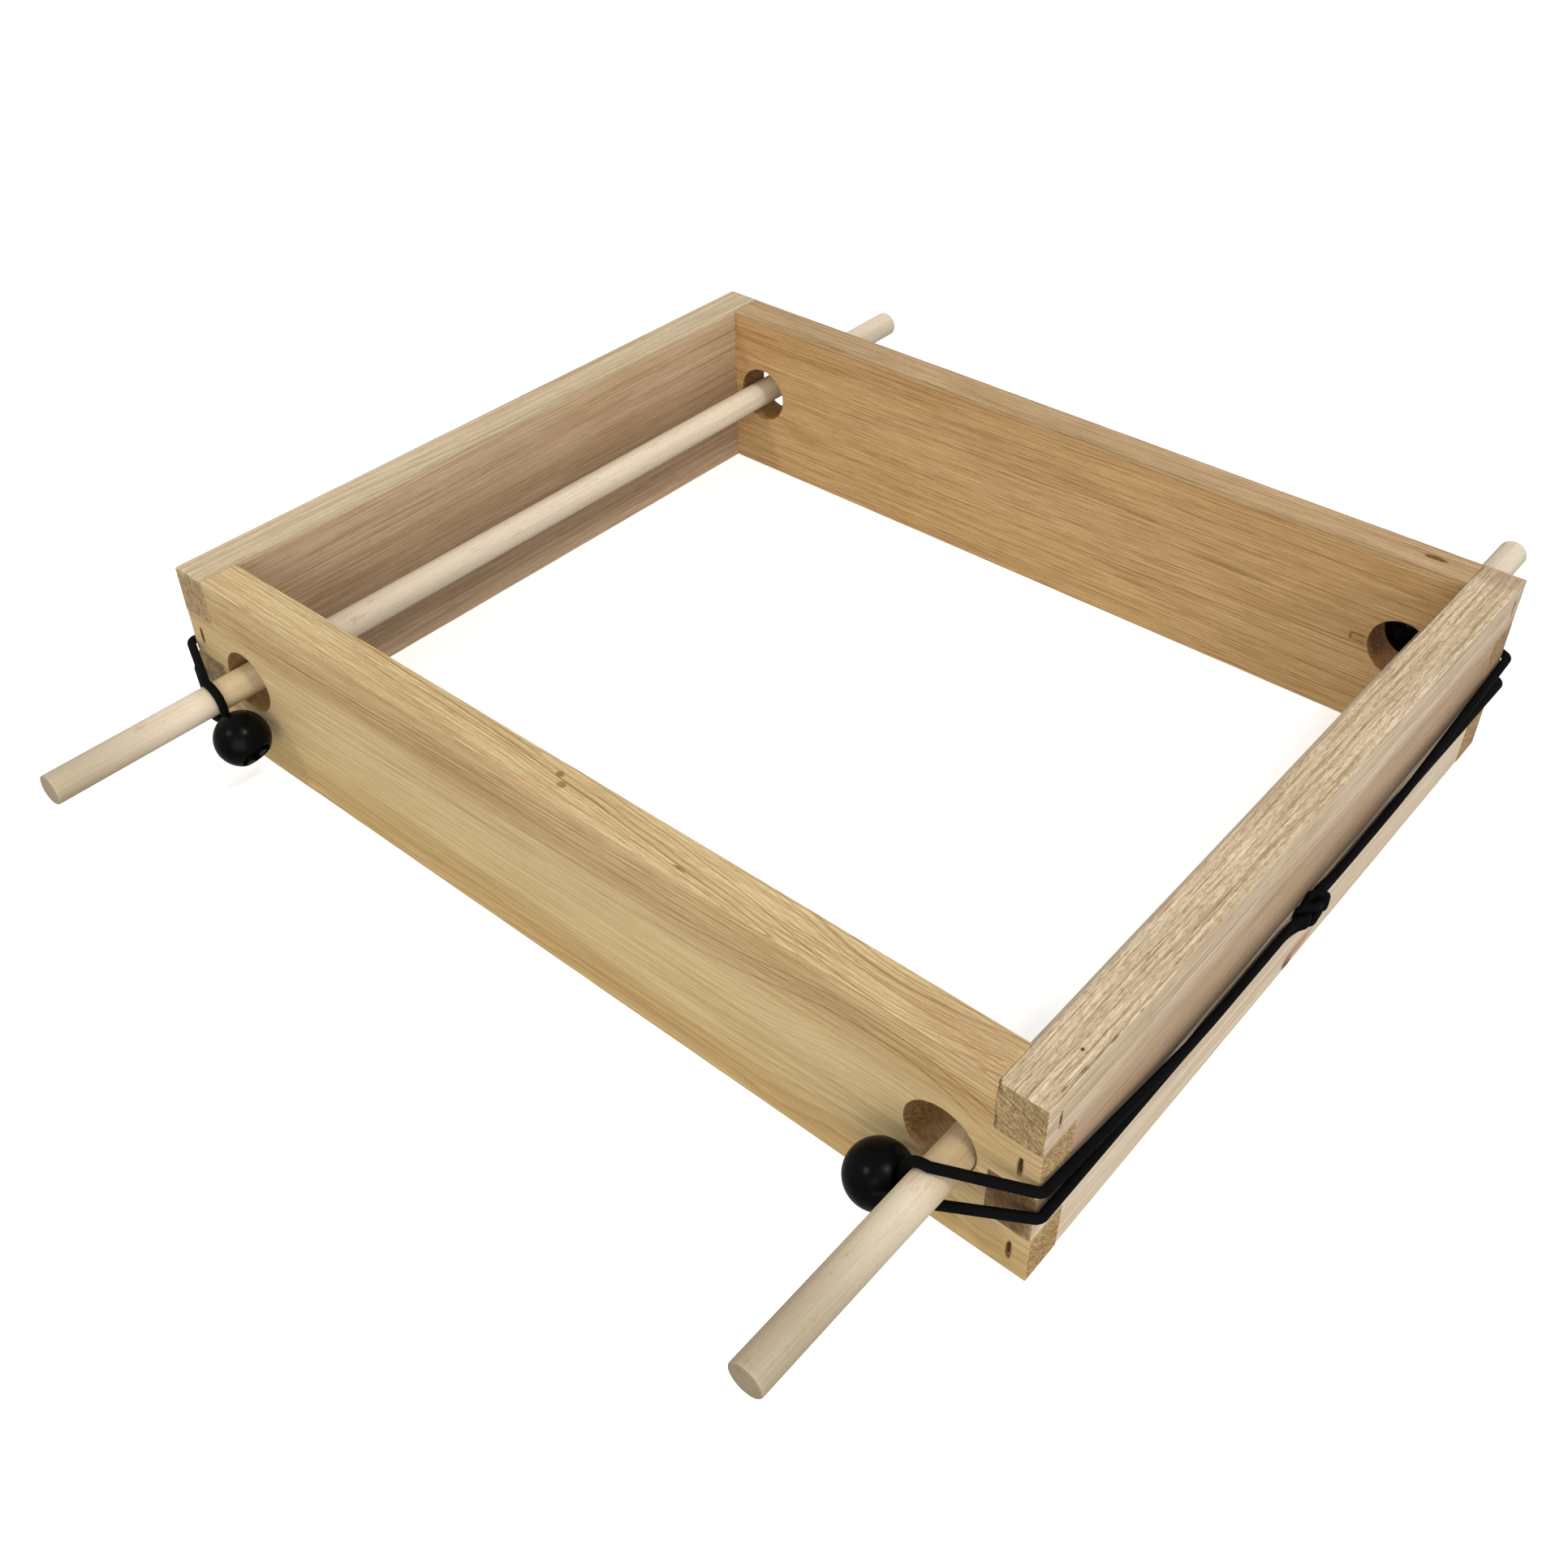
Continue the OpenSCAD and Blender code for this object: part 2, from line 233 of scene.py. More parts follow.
def swept_cord(name, points):
    """A round cord through (point, radius) pairs, with its length in cm down the UV map."""
    count = len(points)
    places = [Vector(p) for p, _ in points]
    headings = []
    for i in range(count):
        before = (places[i] - places[i - 1]).normalized() if i else None
        after = (places[i + 1] - places[i]).normalized() if i < count - 1 else None
        headings.append(((before or after) + (after or before)).normalized())
    normal = headings[0].orthogonal().normalized()
    shape = bmesh.new()
    rings, lengths, length = [], [], 0
    for i in range(count):
        length += (places[i] - places[i - 1]).length if i else 0
        normal = (normal - headings[i] * normal.dot(headings[i])).normalized()
        side = headings[i].cross(normal)
        ring = []
        for k in range(CORD_SIDES):
            turn = 2 * math.pi * k / CORD_SIDES
            spot = places[i] + points[i][1] * (math.cos(turn) * normal + math.sin(turn) * side)
            ring.append(shape.verts.new(spot))
        rings.append(ring)
        lengths.append(length)
    uv = shape.loops.layers.uv.new("braid")
    for i in range(count - 1):
        here, there = lengths[i], lengths[i + 1]
        for k, face in enumerate(band(shape, rings[i], rings[i + 1])):
            spots = (k, here), (k + 1, here), (k + 1, there), (k, there)
            for corner, (around, along) in zip(face.loops, spots):
                corner[uv].uv = (around / CORD_SIDES, along / 0.01)
    for ring in (rings[0][::-1], rings[-1]):
        face = shape.faces.new(ring)
        face.material_index = 1
    for face in shape.faces:
        face.smooth = len(face.verts) == 4
    return add_object(name, as_mesh(shape, name))


class Finish:
    """A material in the making: each call adds one node and gives back its first output."""

    def __init__(self, name, **surface):
        self.material = bpy.data.materials.new(name)
        self.material.use_nodes = True
        self.tree = self.material.node_tree
        self.shader = self.tree.nodes["Principled BSDF"]
        for socket, value in surface.items():
            self.set(socket.replace("_", " "), value)

    def set(self, socket, value):
        self.join(self.shader.inputs[socket], value)

    def join(self, socket, value):
        if isinstance(value, bpy.types.NodeSocket):
            self.tree.links.new(value, socket)
        elif value is not None:
            socket.default_value = value

    def add(self, kind, *values, output=0, **settings):
        node = self.tree.nodes.new("ShaderNode" + kind)
        for setting, value in settings.items():
            setattr(node, setting, value)
        for socket, value in zip(node.inputs, values):
            self.join(socket, value)
        return node.outputs[output]

    def math(self, operation, *values):
        return self.add("Math", *values, operation=operation)

    def plus(self, a, b):
        return self.math("ADD", a, b)

    def minus(self, a, b):
        return self.math("SUBTRACT", a, b)

    def times(self, a, b):
        return self.math("MULTIPLY", a, b)

    def times_plus(self, a, b, c):
        """a times b, plus c."""
        return self.math("MULTIPLY_ADD", a, b, c)

    def span(self, value, low, high, first, last):
        """Takes low to high to first to last in a straight line."""
        return self.add("MapRange", value, low, high, first, last)

    def clamped(self, value, low, high):
        """How far value is from low to high, from 0 to 1, eased at both ends."""
        return self.add("MapRange", value, low, high, 0.0, 1.0, interpolation_type="SMOOTHSTEP")

    def place(self, which="Object"):
        node = self.tree.nodes.new("ShaderNodeTexCoord")
        return node.outputs[which]

    def apart(self, vector):
        node = self.tree.nodes.new("ShaderNodeSeparateXYZ")
        self.join(node.inputs[0], vector)
        return node.outputs

    def millimetres(self):
        """The x, y and z of the surface in mm."""
        place = self.add("VectorMath", self.place(), None, None, 1000.0, operation="SCALE")
        return self.apart(place)

    def point(self, x, y, z):
        return self.add("CombineXYZ", x, y, z)

    def speckle(self, vector, size, detail=2.0, roughness=0.5):
        """Noise from 0 to 1; size is how many waves it has in one unit of the vector."""
        node = self.tree.nodes.new("ShaderNodeTexNoise")
        for socket, value in (
            ("Vector", vector), ("Scale", size), ("Detail", detail), ("Roughness", roughness)
        ):
            self.join(node.inputs[socket], value)
        return node.outputs["Fac"]

    def ramp(self, factor, stops):
        node = self.tree.nodes.new("ShaderNodeValToRGB")
        row = node.color_ramp.elements
        for index, (place, colour) in enumerate(stops):
            stop = row[index] if index < 2 else row.new(place)
            stop.position = place
            stop.color = colour if len(colour) == 4 else (*colour, 1)
        self.join(node.inputs[0], factor)
        return node.outputs[0]

    def mix(self, factor, a, b, blend="MIX"):
        node = self.tree.nodes.new("ShaderNodeMix")
        node.data_type = "RGBA"
        node.blend_type = blend
        self.join(node.inputs[0], factor)
        for socket, value in ((node.inputs[6], a), (node.inputs[7], b)):
            if isinstance(value, tuple) and len(value) == 3:
                value = (*value, 1)
            self.join(socket, value)
        return node.outputs[2]

    def tint(self, tone, strength, shade):
        """The tone multiplied by the shade, as far as the strength says."""
        return self.mix(strength, tone, shade, "MULTIPLY")

    def relief(self, height, depth):
        """Bump: a height of 1 stands this many metres proud."""
        node = self.tree.nodes.new("ShaderNodeBump")
        node.inputs["Strength"].default_value = 1
        node.inputs["Distance"].default_value = depth
        self.join(node.inputs["Height"], height)
        self.join(self.shader.inputs["Normal"], node.outputs[0])


def colour(red, green, blue):
    """A colour given as 0 to 255 on a screen, as the light that it stands for."""
    return tuple(
        c / 12.92 if c <= 0.04045 else ((c + 0.055) / 1.055) ** 2.4
        for c in (red / 255, green / 255, blue / 255)
    )


def braid_finish():
    """Black yarns laid over and under one another in two directions round the cord."""
    finish = Finish("braided_black_sheath", Metallic=0.0)
    around, along = finish.apart(finish.place("UV"))[:2]
    yarns, lay = 12, 7.6
    turned = finish.times(around, yarns)
    down = finish.times(along, lay)
    one = finish.plus(turned, down)
    other = finish.minus(turned, down)
    parity = finish.plus(finish.math("FLOOR", one), finish.math("FLOOR", other))
    over = finish.math("ABSOLUTE", finish.math("MODULO", parity, 2.0))
    humps = []
    for run in (one, other):
        part = finish.math("FRACT", run)
        humps.append(finish.math("SINE", finish.times(part, math.pi)))
    height = finish.add("Mix", over, None, humps[0], humps[1])
    fuzz = finish.speckle(finish.place(), 2600.0, 3.0, 0.7)
    shade = finish.plus(finish.times(height, 0.75), finish.times(fuzz, 0.35))
    finish.set("Base Color", finish.ramp(shade, [
        (0.0, (0.0009, 0.0009, 0.001)), (0.55, (0.0019, 0.0019, 0.0022)),
        (1.0, (0.0042, 0.0042, 0.0048)),
    ]))
    finish.set("Roughness", finish.span(fuzz, 0.3, 0.7, 0.55, 0.8))
    finish.set("Specular IOR Level", 0.06)
    finish.relief(shade, 0.00016)
    return finish.material


def rubber_finish():
    """The cut ends of the cord: pale rubber threads packed in the sheath."""
    finish = Finish("cut_rubber_threads", Roughness=0.7)
    threads = finish.add("TexVoronoi", finish.place(), None, 1500.0)
    finish.set("Base Color", finish.ramp(threads, [
        (0.0, colour(24, 24, 24)), (0.5, colour(16, 16, 16)), (0.9, colour(8, 8, 8)),
    ]))
    finish.relief(threads, -0.0002)
    return finish.material


sheath = braid_finish()
rubber = rubber_finish()
for sx, sy in CORNERS:
    knot = rounded(knot_half(sx, sy, 1) + knot_half(sx, sy, -1)[::-1], 7)
    upper, lower = strand(sx, sy, 1), strand(sx, sy, -1)
    corner = corner_name(sx, sy)
    loop = swept_cord(corner + "_elastic", upper + knot + lower[::-1])
    loop.data.materials.append(sheath)
    loop.data.materials.append(rubber)
    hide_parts(corner + "_loop")
    sx * (dowel_axis(sx).x + 0.006)
    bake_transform(loop)


# ---------------------------------------------------------------- knotted cord ends
# Behind each ball's bore the two ends of its cord are tied together, so that they can't
# pull through. The knot fills the pocket, and the two cut tips stand out of it.
TURN_R = 3.55 * MM
KNOT_DEPTH = 7.6 * MM


def at_ball(sx, sy):
    """The place and turn of a ball made along +z, with its bore's mouth up."""
    centre, _ = ball_centre(sx, sy)
    axis = dowel_axis(sx)
    mouth = Vector((sx * (axis.x - centre.x), 0, axis.y - centre.z))
    turn = Vector((0, 0, 1)).rotation_difference(mouth).to_matrix().to_4x4()
    return Matrix.Translation((sx * centre.x, centre.y, centre.z)) @ turn


def tied_end(half):
    """One end: out of the bore, once round the knot and out at the back."""
    points = []
    for step in range(29):
        share = step / 28
        angle = math.pi * half + share * math.radians(430)
        swing = min(1, share * 6) * min(1, (1 - share) * 4 + 0.35)
        spot = polar(STRAND_OFF + (TURN_R - STRAND_OFF) * swing, angle)
        depth = -LOOP_SEAT - 0.0001 - CORD_R * 0.35 - (KNOT_DEPTH - 1.6 * CORD_R) * share
        points.append((Vector((spot.x, spot.y, depth)), CORD_R * 0.93))
    tip = points[-1][0]
    lean = Vector((tip.x, tip.y, 0)).normalized() * (0.0004 + 0.0007 * half)
    points.append((tip + Vector((0, 0, -0.0022)) + lean * 0.5, CORD_R * 0.95))
    points.append((tip + Vector((0, 0, -0.0042 - 0.0006 * half)) + lean, CORD_R * 0.97))
    return points


for sx, sy in CORNERS:
    corner = corner_name(sx, sy)
    shape = bmesh.new()
    for half in (0, 1):
        end = swept_cord("cord_end", rounded(tied_end(half), 3))
        end.data.transform(at_ball(sx, sy))
        shape.from_mesh(end.data)
        bpy.data.objects.remove(end)
    both = as_mesh(shape, corner + "_knotted_ends")
    knot = add_object(corner + "_knotted_ends", both)
    both.materials.append(sheath)
    both.materials.append(rubber)
    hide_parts(corner + "_cord_ends")
    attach(knot, side_name(sx) + "_balls")


# ---------------------------------------------------------------- balls
# Four 27 mm balls of moulded black polypropylene. A bore takes both strands, a wider
# pocket at the back hides their knot, and a faint line shows where the mould closed.
BORE_R = 5 * MM
POCKET_R = 7.5 * MM
POCKET_FLOOR = 2 * MM
LIP_R = 0.7 * MM
MOUTH_R = BORE_R + LIP_R * 1.2
SEAM_PROUD = 0.06 * MM
SEAM_WIDE = 0.35 * MM
BALL_SIDES = 112


def ball_outline(ball_r):
    """Radius and height round the wall of a ball, from the bore's mouth over the outside."""
    points = []
    mouth = math.asin(MOUTH_R / ball_r)
    back = math.asin((POCKET_R + LIP_R) / ball_r)
    for step in range(61):
        angle = mouth + (math.pi - back - mouth) * step / 60
        proud = SEAM_PROUD * math.exp(-((ball_r * (angle - math.pi / 2)) / SEAM_WIDE) ** 2)
        points.append(((ball_r + proud) * math.sin(angle), (ball_r + proud) * math.cos(angle)))
    lip = -math.sqrt(ball_r ** 2 - (POCKET_R + LIP_R) ** 2) + LIP_R * 0.9
    for turn in (math.radians(30), math.radians(60), math.radians(90)):
        points.append((
            POCKET_R + LIP_R - LIP_R * math.sin(turn), lip - LIP_R * math.cos(turn) * 0.9
        ))
    points += [
        (POCKET_R, -POCKET_FLOOR - 0.004), (POCKET_R, -POCKET_FLOOR - 0.0008),
        (POCKET_R - 0.0002, -POCKET_FLOOR - 0.0002), (POCKET_R - 0.0008, -POCKET_FLOOR),
        (BORE_R + 0.0004, -POCKET_FLOOR), (BORE_R, -POCKET_FLOOR + 0.0004), (BORE_R, 0.004),
    ]
    top = math.sqrt(ball_r ** 2 - MOUTH_R ** 2)
    for turn in (0, math.radians(30), math.radians(60)):
        points.append((
            BORE_R + LIP_R * 1.2 * (1 - math.cos(turn)), top - LIP_R * (1 - math.sin(turn)) + 0.0001
        ))
    return points


def turned(name, outline):
    """A closed shape of revolution round z."""
    shape = bmesh.new()
    rings = []
    for radius, height in outline:
        ring = []
        for k in range(BALL_SIDES):
            spot = polar(radius, 2 * math.pi * k / BALL_SIDES)
            ring.append(shape.verts.new((spot.x, spot.y, height)))
        rings.append(ring)
    for i, ring in enumerate(rings):
        below = rings[(i + 1) % len(rings)]
        for k in range(BALL_SIDES):
            after = (k + 1) % BALL_SIDES
            shape.faces.new((ring[k], below[k], below[after], ring[after]))
    bmesh.ops.recalc_face_normals(shape, faces=shape.faces)
    for face in shape.faces:
        face.smooth = True
    return add_object(name, as_mesh(shape, name))


def plastic_finish():
    finish = Finish("moulded_black_plastic", Metallic=0.0)
    place = finish.place()
    orange_peel = finish.speckle(place, 900.0, 2.0, 0.5)
    handling = finish.speckle(place, 160.0, 4.0, 0.6)
    finish.set("Base Color", finish.ramp(handling, [
        (0.3, (0.0014, 0.0014, 0.0015)), (0.75, (0.0028, 0.0028, 0.0029)),
    ]))
    finish.set("Roughness", finish.span(handling, 0.3, 0.7, 0.22, 0.34))
    finish.set("Specular IOR Level", 0.065)
    finish.relief(orange_peel, 0.00004)
    return finish.material


plastic = plastic_finish()
for sx, sy in CORNERS:
    corner = corner_name(sx, sy)
    _, ball_r = ball_centre(sx, sy)
    ball = turned(corner + "_bungee_ball", ball_outline(ball_r))
    ball.data.transform(at_ball(sx, sy))
    ball.data.materials.append(plastic)
    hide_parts(corner + "_ball")
    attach(ball, side_name(sx) + "_balls")


# ---------------------------------------------------------------- warp dowels
# Two plain birch dowels, 15 mm thick, sanded and left unfinished. Each lies loose in the
# holes of both long boards and is held only by the balls. Their ends are sawn square.
DOWEL_SIDES = 72
END_EASE = 0.7 * MM
END_SOFT = 0.6 * MM
OUT_OF_ROUND = 0.06 * MM
SAW_SLANT = 0.35 * MM


def dowel_mesh(name, radius, length, seed):
    """A dowel along y from 0, very slightly out of round, with sawn ends and a soft edge."""
    shape = bmesh.new()
    stations = [0.0, 0.0003, END_EASE, 0.002]
    stations += [0.002 + (length - 0.004) * step / 60 for step in range(1, 60)]
    stations += [length - y for y in (0.002, END_EASE, 0.0003, 0.0)]
    rings = []
    for index, y in enumerate(stations):
        edge = min(y, length - y)
        rim = radius - END_SOFT * max(0, 1 - edge / END_EASE) ** 1.5
        ring = []
        for k in range(DOWEL_SIDES):
            spot = polar(1, 2 * math.pi * k / DOWEL_SIDES)
            wobble = noise.noise(Vector((spot.x * 1.3, y * 14, spot.y * 1.3 + seed))) * OUT_OF_ROUND
            slant = 0.0
            if index in (0, len(stations) - 1):
                slant = SAW_SLANT * (spot.x * math.cos(seed) + spot.y * math.sin(seed))
                slant = min(slant, 0) if index else max(slant, 0)
            reach = rim + wobble
            ring.append(shape.verts.new((reach * spot.x, y + slant, reach * spot.y)))
        rings.append(ring)
    for one, two in zip(rings, rings[1:]):
        for face in band(shape, one, two):
            face.smooth = True
    for ring in (rings[0], rings[-1]):
        inner = ring
        middle = sum((v.co for v in ring), Vector()) / len(ring)
        for share in (0.66, 0.33):
            nearer = [shape.verts.new(middle + (v.co - middle) * share) for v in ring]
            for k in range(DOWEL_SIDES):
                after = (k + 1) % DOWEL_SIDES
                shape.faces.new((inner[k], nearer[k], nearer[after], inner[after]))
            inner = nearer
        hub = shape.verts.new(middle)
        for k in range(DOWEL_SIDES):
            shape.faces.new((inner[k], hub, inner[(k + 1) % DOWEL_SIDES]))
    bmesh.ops.recalc_face_normals(shape, faces=shape.faces)
    return as_mesh(shape, name)


def birch_finish(name, seed, pale, warm):
    """Close pale hardwood: faint streaks, short flecks and smudges, and greyer sawn ends.

    It is darker towards the front end, painted shade where that length lies in less light, and
    yellower in the holes, painted light bounced off the holes' wood."""
    finish = Finish(name, Metallic=0.0)
    x, y, z = finish.millimetres()
    shifted = finish.plus(y, seed * 97.0)

    def stretched(along, across):
        return finish.point(
            finish.times(x, across), finish.times(shifted, along), finish.times(z, across)
        )

    broad = finish.speckle(stretched(0.006, 0.11), 1.0, 3.0, 0.55)
    streak = finish.speckle(stretched(0.012, 0.9), 1.0, 4.0, 0.6)
    fibre = finish.speckle(stretched(0.12, 5.5), 1.0, 2.0, 0.6)
    fleck = finish.speckle(stretched(0.35, 2.6), 1.0, 2.0, 0.5)
    between = tuple((a + b) / 2 for a, b in zip(pale, warm))
    tone = finish.ramp(broad, [(0.3, pale), (0.52, between), (0.72, warm)])
    tone = finish.tint(tone, finish.clamped(streak, 0.46, 0.72), (0.91, 0.87, 0.81))
    dark = finish.times(finish.clamped(fleck, 0.62, 0.72), 0.7)
    tone = finish.tint(tone, dark, (0.80, 0.70, 0.58))
    smudge = finish.clamped(finish.speckle(stretched(0.05, 0.26), 1.0, 3.0, 0.7), 0.60, 0.70)
    tone = finish.tint(tone, smudge, (0.88, 0.80, 0.68))
    tone = finish.tint(tone, finish.clamped(fibre, 0.3, 0.75), (0.92, 0.90, 0.87))
    # Painted shade: the colour darkens towards the dowel's front end, where its outer length lies
    # in less light.
    front_end_shade = finish.clamped(y, -215.0, -290.0)
    tone = finish.tint(tone, front_end_shade, (0.63, 0.60, 0.54))
    # Painted light: the dowel is tinted yellow near and inside the holes, as light bounced off the
    # holes' wood.
    hole_bounce_reach = finish.math("ABSOLUTE", finish.minus(finish.math("ABSOLUTE", y), 198.0))
    tone = finish.tint(tone, finish.clamped(hole_bounce_reach, 30.0, 4.0), (0.82, 0.72, 0.54))
    facing = finish.apart(finish.place("Normal"))[1]
    sawn = finish.clamped(finish.math("ABSOLUTE", facing), 0.6, 0.9)
    tone = finish.tint(tone, sawn, (0.78, 0.74, 0.72))
    finish.set("Base Color", tone)
    finish.set("Roughness", finish.span(fibre, 0.25, 0.75, 0.52, 0.7))
    finish.set("Specular IOR Level", 0.38)
    height = finish.plus(finish.times(fibre, 0.6), finish.times(streak, 0.6))
    finish.relief(height, 0.00007)
    return finish.material


BIRCH = {
    -1: (colour(238, 226, 205), colour(226, 210, 184)),
    1: (colour(226, 214, 192), colour(212, 195, 168)),
}
for sx in (-1, 1):
    side = side_name(sx)
    low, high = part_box(side + "_dowel")
    mesh = dowel_mesh(side + "_birch_dowel", (high.z - low.z) / 2, high.y - low.y, 3.0 + sx)
    mesh.transform(Matrix.Translation(((low.x + high.x) / 2, low.y, (low.z + high.z) / 2)))
    dowel = add_object(side + "_birch_dowel", mesh)
    mesh.materials.append(birch_finish(side + "_birch", 2.0 + sx, *BIRCH[sx]))
    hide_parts(side + "_dowel")
    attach(dowel, side + "_warp_dowel")


# ---------------------------------------------------------------- front board
# A long softwood board, planed on its faces, with two fingers and a notch between them
# at each end. Both dowel holes are bored with a spade bit, a little inside the joints.
CUTS = 16
HOLE_CELL = 2.5 * MM
SQUARE = CUTS * HOLE_CELL / 2
HOLE_RINGS = 3
ROUND_OVER = 0.55 * MM
JOINT_GAP = 0.06 * MM
# A staple's slot, in mm.
SLOT_WIDE, SLOT_DEEP, SLOT_HIGH = 1.7, 1.6, 9.6


def spread(marks, cell):
    """Places from the first mark to the last that hit every mark, no further apart than cell."""
    places = [marks[0]]
    for low, high in zip(marks, marks[1:]):
        count = max(1, math.ceil((high - low) / cell - 1e-6))
        places += [low + (high - low) * step / count for step in range(1, count + 1)]
    return places


def grid_lines(marks, cell, middles):
    """Places that hit every mark, no further apart than cell, with finer ones across each hole."""
    if not middles:
        return spread(sorted(marks), cell)
    marks = set(marks)
    for middle in middles:
        marks |= {round(middle - SQUARE, 7), round(middle + SQUARE, 7)}
    lines = {round(place, 7) for place in spread(sorted(marks), cell)}
    for middle in middles:
        lines = {place for place in lines if abs(place - middle) > SQUARE - 1e-6}
        lines |= {round(middle - SQUARE + HOLE_CELL * k, 7) for k in range(CUTS + 1)}
    return sorted(lines)


def jointed_board(
    name, length, kept, holes, to_frame, cell=0.006, edge_cell=0.005, proud=(0, 0, 0, 0)
):
    """A finger-jointed board: u along it from its middle, v through it, w up.

    v is counted from its outer face. kept are the fingers it keeps, counted from the bottom,
    holes the (u, w, radius) of its dowel holes, and proud how far each end's fingers stand
    out of the joint. A square of cells round each hole is drawn in to the hole's rim."""
    half, thick = length / 2, BOARD_THICK
    levels = [FINGER * k for k in range(5)]
    us = grid_lines((-half, -half + thick, half - thick, half), cell, [u for u, _, _ in holes])
    ws = grid_lines(levels, cell, [w for _, w, _ in holes])
    vs = spread([0, thick], edge_cell)
    deepest = len(vs) - 1
    shape = bmesh.new()
    made = {}

    def moved(u, v, w):
        end = 0 if u < 0 else 1
        level = min(3, int(w / FINGER))
        if abs(abs(u) - half) < 1e-6:
            u += math.copysign(proud[2 * end + (level > 1)], u)
        if abs(u) > half - thick - 1e-6:
            for k in (1, 2, 3):
                if abs(w - levels[k]) < 1e-6:
                    w += -JOINT_GAP if k - 1 in kept else JOINT_GAP
        return to_frame(u, v, w)

    def vert(key, u, v, w):
        if key not in made:
            made[key] = shape.verts.new(moved(u, v, w))
        return made[key]

    def grid(i, j, k):
        return vert((i, j, k), us[i], vs[k], ws[j])

    def solid(i, j):
        if not (0 <= i < len(us) - 1 and 0 <= j < len(ws) - 1):
            return False
        if abs((us[i] + us[i + 1]) / 2) < half - thick:
            return True
        return int((ws[j] + ws[j + 1]) / 2 / FINGER) in kept

    def in_hole(i, j):
        u, w = (us[i] + us[i + 1]) / 2, (ws[j] + ws[j + 1]) / 2
        return any(abs(u - hu) < SQUARE and abs(w - hw) < SQUARE for hu, hw, _ in holes)

    for i in range(len(us) - 1):
        for j in range(len(ws) - 1):
            if not solid(i, j):
                continue
            if not in_hole(i, j):
                for k in (0, deepest):
                    shape.faces.new((
                        grid(i, j, k), grid(i + 1, j, k), grid(i + 1, j + 1, k), grid(i, j + 1, k)
                    ))
            for (di, dj), (a, b) in {
                (-1, 0): ((0, 0), (0, 1)), (1, 0): ((1, 0), (1, 1)),
                (0, -1): ((0, 0), (1, 0)), (0, 1): ((0, 1), (1, 1)),
            }.items():
                if solid(i + di, j + dj):
                    continue
                for k in range(deepest):
                    shape.faces.new((
                        grid(i + a[0], j + a[1], k), grid(i + b[0], j + b[1], k),
                        grid(i + b[0], j + b[1], k + 1), grid(i + a[0], j + a[1], k + 1),
                    ))
    for number, (hu, hw, radius) in enumerate(holes):
        first_i = min(range(len(us)), key=lambda i: abs(us[i] - (hu - SQUARE)))
        first_j = min(range(len(ws)), key=lambda j: abs(ws[j] - (hw - SQUARE)))
        walk = [(first_i + n, first_j) for n in range(CUTS)]
        walk += [(first_i + CUTS, first_j + n) for n in range(CUTS)]
        walk += [(first_i + CUTS - n, first_j + CUTS) for n in range(CUTS)]
        walk += [(first_i, first_j + CUTS - n) for n in range(CUTS)]

        def hole_vert(ring, n, k):
            i, j = walk[n % len(walk)]
            if ring == 0:
                return grid(i, j, k)
            angle = math.radians(225) + 2 * math.pi * (n % len(walk)) / len(walk)
            rim = Vector((hu, hw)) + polar(radius, angle)
            spot = Vector((us[i], ws[j])).lerp(rim, ring / HOLE_RINGS)
            return vert(("hole", number, ring, n % len(walk), k), spot.x, vs[k], spot.y)

        for n in range(len(walk)):
            for k in (0, deepest):
                for ring in range(HOLE_RINGS):
                    shape.faces.new((
                        hole_vert(ring, n, k), hole_vert(ring, n + 1, k),
                        hole_vert(ring + 1, n + 1, k), hole_vert(ring + 1, n, k),
                    ))
            for k in range(deepest):
                shape.faces.new((
                    hole_vert(HOLE_RINGS, n, k), hole_vert(HOLE_RINGS, n + 1, k),
                    hole_vert(HOLE_RINGS, n + 1, k + 1), hole_vert(HOLE_RINGS, n, k + 1),
                ))
    bmesh.ops.recalc_face_normals(shape, faces=shape.faces)
    sharp = [e for e in shape.edges if len(e.link_faces) == 2 and e.calc_face_angle() > 1]
    bmesh.ops.bevel(
        shape, geom=sharp, offset=ROUND_OVER, segments=2, profile=0.6, affect="EDGES",
        clamp_overlap=True,
    )
    for face in shape.faces:
        face.smooth = True
    return add_object(name, as_mesh(shape, name))


def nick(place, size, turn, seed):
    """A torn splinter's worth of wood, as a rough closed lump to cut away."""
    shape = bmesh.new()
    bmesh.ops.create_icosphere(shape, subdivisions=3, radius=1)
    for v in shape.verts:
        rough = 1 + 0.35 * noise.noise(v.co * 2.2 + Vector((seed, 0, 0)))
        rough += 0.12 * noise.noise(v.co * 6 + Vector((0, seed, 0)))
        v.co = Vector((v.co.x * size[0], v.co.y * size[1], v.co.z * size[2])) * rough * MM
    turned_by = Matrix.Rotation(math.radians(turn), 4, "Z")
    shape.transform(Matrix.Translation(Vector(place) * MM) @ turned_by)
    return as_mesh(shape, "nick")


def staple_slot(place, along):
    """The torn slot over a staple's crown, driven in along x or y."""
    shape = bmesh.new()
    bmesh.ops.create_cube(shape, size=1)
    wide, deep = (SLOT_WIDE, 2 * SLOT_DEEP) if along == "y" else (2 * SLOT_DEEP, SLOT_WIDE)
    for v in shape.verts:
        v.co = Vector((v.co.x * wide, v.co.y * deep, v.co.z * SLOT_HIGH)) * MM
    edges = list(shape.edges)
    bmesh.ops.bevel(shape, geom=edges, offset=0.4 * MM, segments=2, profile=0.5, affect="EDGES")
    for v in shape.verts:
        v.co.x += 0.00022 * noise.noise(v.co * 500 + Vector(place))
        v.co.y += 0.00022 * noise.noise(v.co * 520 - Vector(place))
    shape.transform(Matrix.Translation(Vector(place)))
    return as_mesh(shape, "slot")


